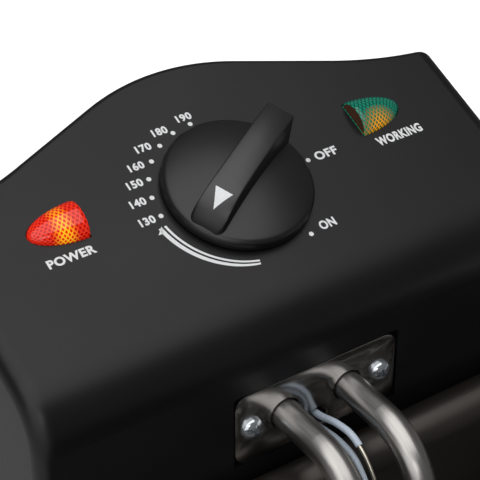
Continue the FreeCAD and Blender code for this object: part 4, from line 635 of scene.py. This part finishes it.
def bent_wire(shape, start, heading, moves, closed=False):
    """Wire drawn from a ring: straight runs are lengths, bends are (centre side, angle, radius)."""
    here, heading = Vector(start), Vector(heading)
    stand = Matrix.Translation(here) @ heading.to_track_quat("Z", "Y").to_matrix().to_4x4()
    ring = bmesh.ops.create_circle(shape, segments=6, radius=wire, matrix=stand)["verts"]
    edges = list({edge for corner in ring for edge in corner.link_edges})
    first = edges
    for move in moves:
        if isinstance(move, float):
            geometry = bmesh.ops.extrude_edge_only(shape, edges=edges)["geom"]
            bmesh.ops.translate(shape, vec=heading * move, verts=grown(geometry))
            edges = [part for part in geometry if isinstance(part, bmesh.types.BMEdge) and part.is_boundary]
            here = here + heading * move
        else:
            inward, angle, radius = move
            inward = Vector(inward)
            axis = heading.cross(inward)
            centre = here + inward * radius
            swept = bmesh.ops.spin(shape, geom=edges, cent=centre, axis=axis, angle=angle, steps=4)
            edges = [part for part in swept["geom_last"] if isinstance(part, bmesh.types.BMEdge)]
            turn = Matrix.Rotation(angle, 3, axis)
            here = centre + turn @ (here - centre)
            heading = turn @ heading
    if closed:
        ends = {corner for edge in first + edges for corner in edge.verts}
        bmesh.ops.remove_doubles(shape, verts=list(ends), dist=0.01 * mm)
    else:
        bmesh.ops.edgeloop_fill(shape, edges=first)
        bmesh.ops.edgeloop_fill(shape, edges=edges)


basket = bmesh.new()
bend = 3 * mm
quarter = math.pi / 2
for across in (True, False):
    reach = half_x if across else half_y
    other = half_y if across else half_x
    count = int((reach - net_margin) / pitch)
    for step in range(-count, count + 1):
        offset = step * pitch
        past = max(0.0, abs(offset) - (reach - corner_radius))
        half = other - corner_radius + math.sqrt(corner_radius ** 2 - past ** 2) - wire - weld
        floor = low.z + wire if across else low.z + 2 * wire
        run = Vector((0, 1, 0)) if across else Vector((1, 0, 0))
        side = Vector((1, 0, 0)) if across else Vector((0, 1, 0))
        start = Vector((0, middle_y, top - below_rim)) + side * offset - run * half
        fall = top - below_rim - floor - bend
        bent_wire(basket, start, (0, 0, -1),
                  (fall, (run, quarter, bend), 2 * (half - bend), ((0, 0, 1), quarter, bend), fall))
for step in range(int((top - low.z - net_margin) / pitch) + 1):
    z = low.z + first_hoop + step * pitch
    side_x, side_y = half_x - wire, half_y - wire
    bent = corner_radius - wire
    run_x, run_y = 2 * (side_x - bent), 2 * (side_y - bent)
    bent_wire(basket, (-side_x + bent, middle_y - side_y, z), (1, 0, 0),
              (run_x, ((0, 1, 0), quarter, bent), run_y, ((-1, 0, 0), quarter, bent), run_x,
               ((0, -1, 0), quarter, bent), run_y, ((1, 0, 0), quarter, bent)), closed=True)
piece("basket_net", basket, wire_steel, "basket", "basket_steel",
      "basket_floor", "basket_front", "basket_back", "basket_left", "basket_right", "basket_corners")
dress(wire_steel, "basket_rim_wire")
dress(brushed("bracket_steel", screen(190, 189, 186), 0.3, (1.0, 1.0, 0.03)), "handle_bracket")


# Basket handle
# A bent wire hinges in the bracket, and its two ends are pushed into a moulded black grip.
dress(wire_steel, "handle_wire")
dress(moulding("grip_plastic", screen(33, 33, 34), 0.5, 1.0 * mm, 0.06 * mm), "handle_grip")


# Studio
# A white table sweeps away on all sides. One large soft box hangs over the object, and two
# smaller ones stand in front of it and at its left side.
def grey(level):
    return (level, level, level, 1.0)


def seen(tree, mirrored):
    """Share of plain white: all of it for the camera, some of it in metal and glass."""
    camera, glossy, through = (Wire(tree).node("ShaderNodeLightPath", output=kind)
                               for kind in ("Is Camera Ray", "Is Glossy Ray", "Is Transmission Ray"))
    return camera + (glossy + through) * mirrored


table_shape = bmesh.new()
bmesh.ops.create_grid(table_shape, x_segments=1, y_segments=1, size=6.0)
table_mesh = bpy.data.meshes.new("table")
table_shape.to_mesh(table_mesh)
table_shape.free()
table = bpy.data.objects.new("table", table_mesh)
bpy.context.scene.collection.objects.link(table)
white, shader, place = finish("white_table", grey(0.5), 0.9, Specular_IOR_Level=0.0, Emission_Strength=1.0)
# The table's glow is dimmer within shadow_reach of the object, a painted grey pool of shade around it, and
# rises to full white from bright_from outwards.
shadow_reach, bright_from = 0.28, 0.6
away = place.node("ShaderNodeVectorMath", {"operation": "LENGTH"}, {0: place}, "Value")
painted_shade_glow = away.steep(shadow_reach, bright_from).mix(grey(0.5), grey(0.9))
feed(shader, Emission_Color=seen(white.node_tree, 0.1).mix(grey(0.0), painted_shade_glow))
table_mesh.materials.append(white)

world = bpy.data.worlds.new("studio")
world.use_nodes = True
bpy.context.scene.world = world
feed(world.node_tree.nodes["Background"],
     Color=seen(world.node_tree, 0.0).mix(grey(0.12), grey(1.0)))


def soft_box(name, wide, tall, watts, spot, aim):
    """Rectangular lamp that faces a point."""
    lamp = bpy.data.lights.new(name, "AREA")
    lamp.shape = "RECTANGLE"
    lamp.size, lamp.size_y = wide, tall
    lamp.energy = watts
    hung = bpy.data.objects.new(name, lamp)
    bpy.context.scene.collection.objects.link(hung)
    facing = (Vector(spot) - Vector(aim)).to_track_quat("Z", "Y").to_matrix().to_4x4()
    hung.matrix_world = Matrix.Translation(spot) @ facing


soft_box("top_box", 3.4, 1.9, 30.0, (-0.85, -0.15, 1.6), (-0.85, -0.15, 0.0))
soft_box("front_box", 1.0, 0.7, 5.0, (-1.1, -1.9, 1.35), (0.0, 0.0, 0.2))
soft_box("side_box", 1.8, 1.1, 6.0, (-1.4, -0.8, 0.62), (0.0, 0.0, 0.62))

lens = bpy.data.cameras.new("camera")
lens.lens = 126.83
camera = bpy.data.objects.new("camera", lens)
bpy.context.scene.collection.objects.link(camera)
right, up, back = (0.8316, -0.5553, -0.0043), (0.3228, 0.4771, 0.8174), (-0.4519, -0.6812, 0.5760)
spot = Vector(turning["pos_m"]) + Vector((-0.19817, -0.30023, 0.23716))
camera.matrix_world = Matrix.Translation(spot) @ Matrix((right, up, back)).transposed().to_4x4()
bpy.context.scene.camera = camera
bpy.context.scene.view_settings.view_transform = "Standard"
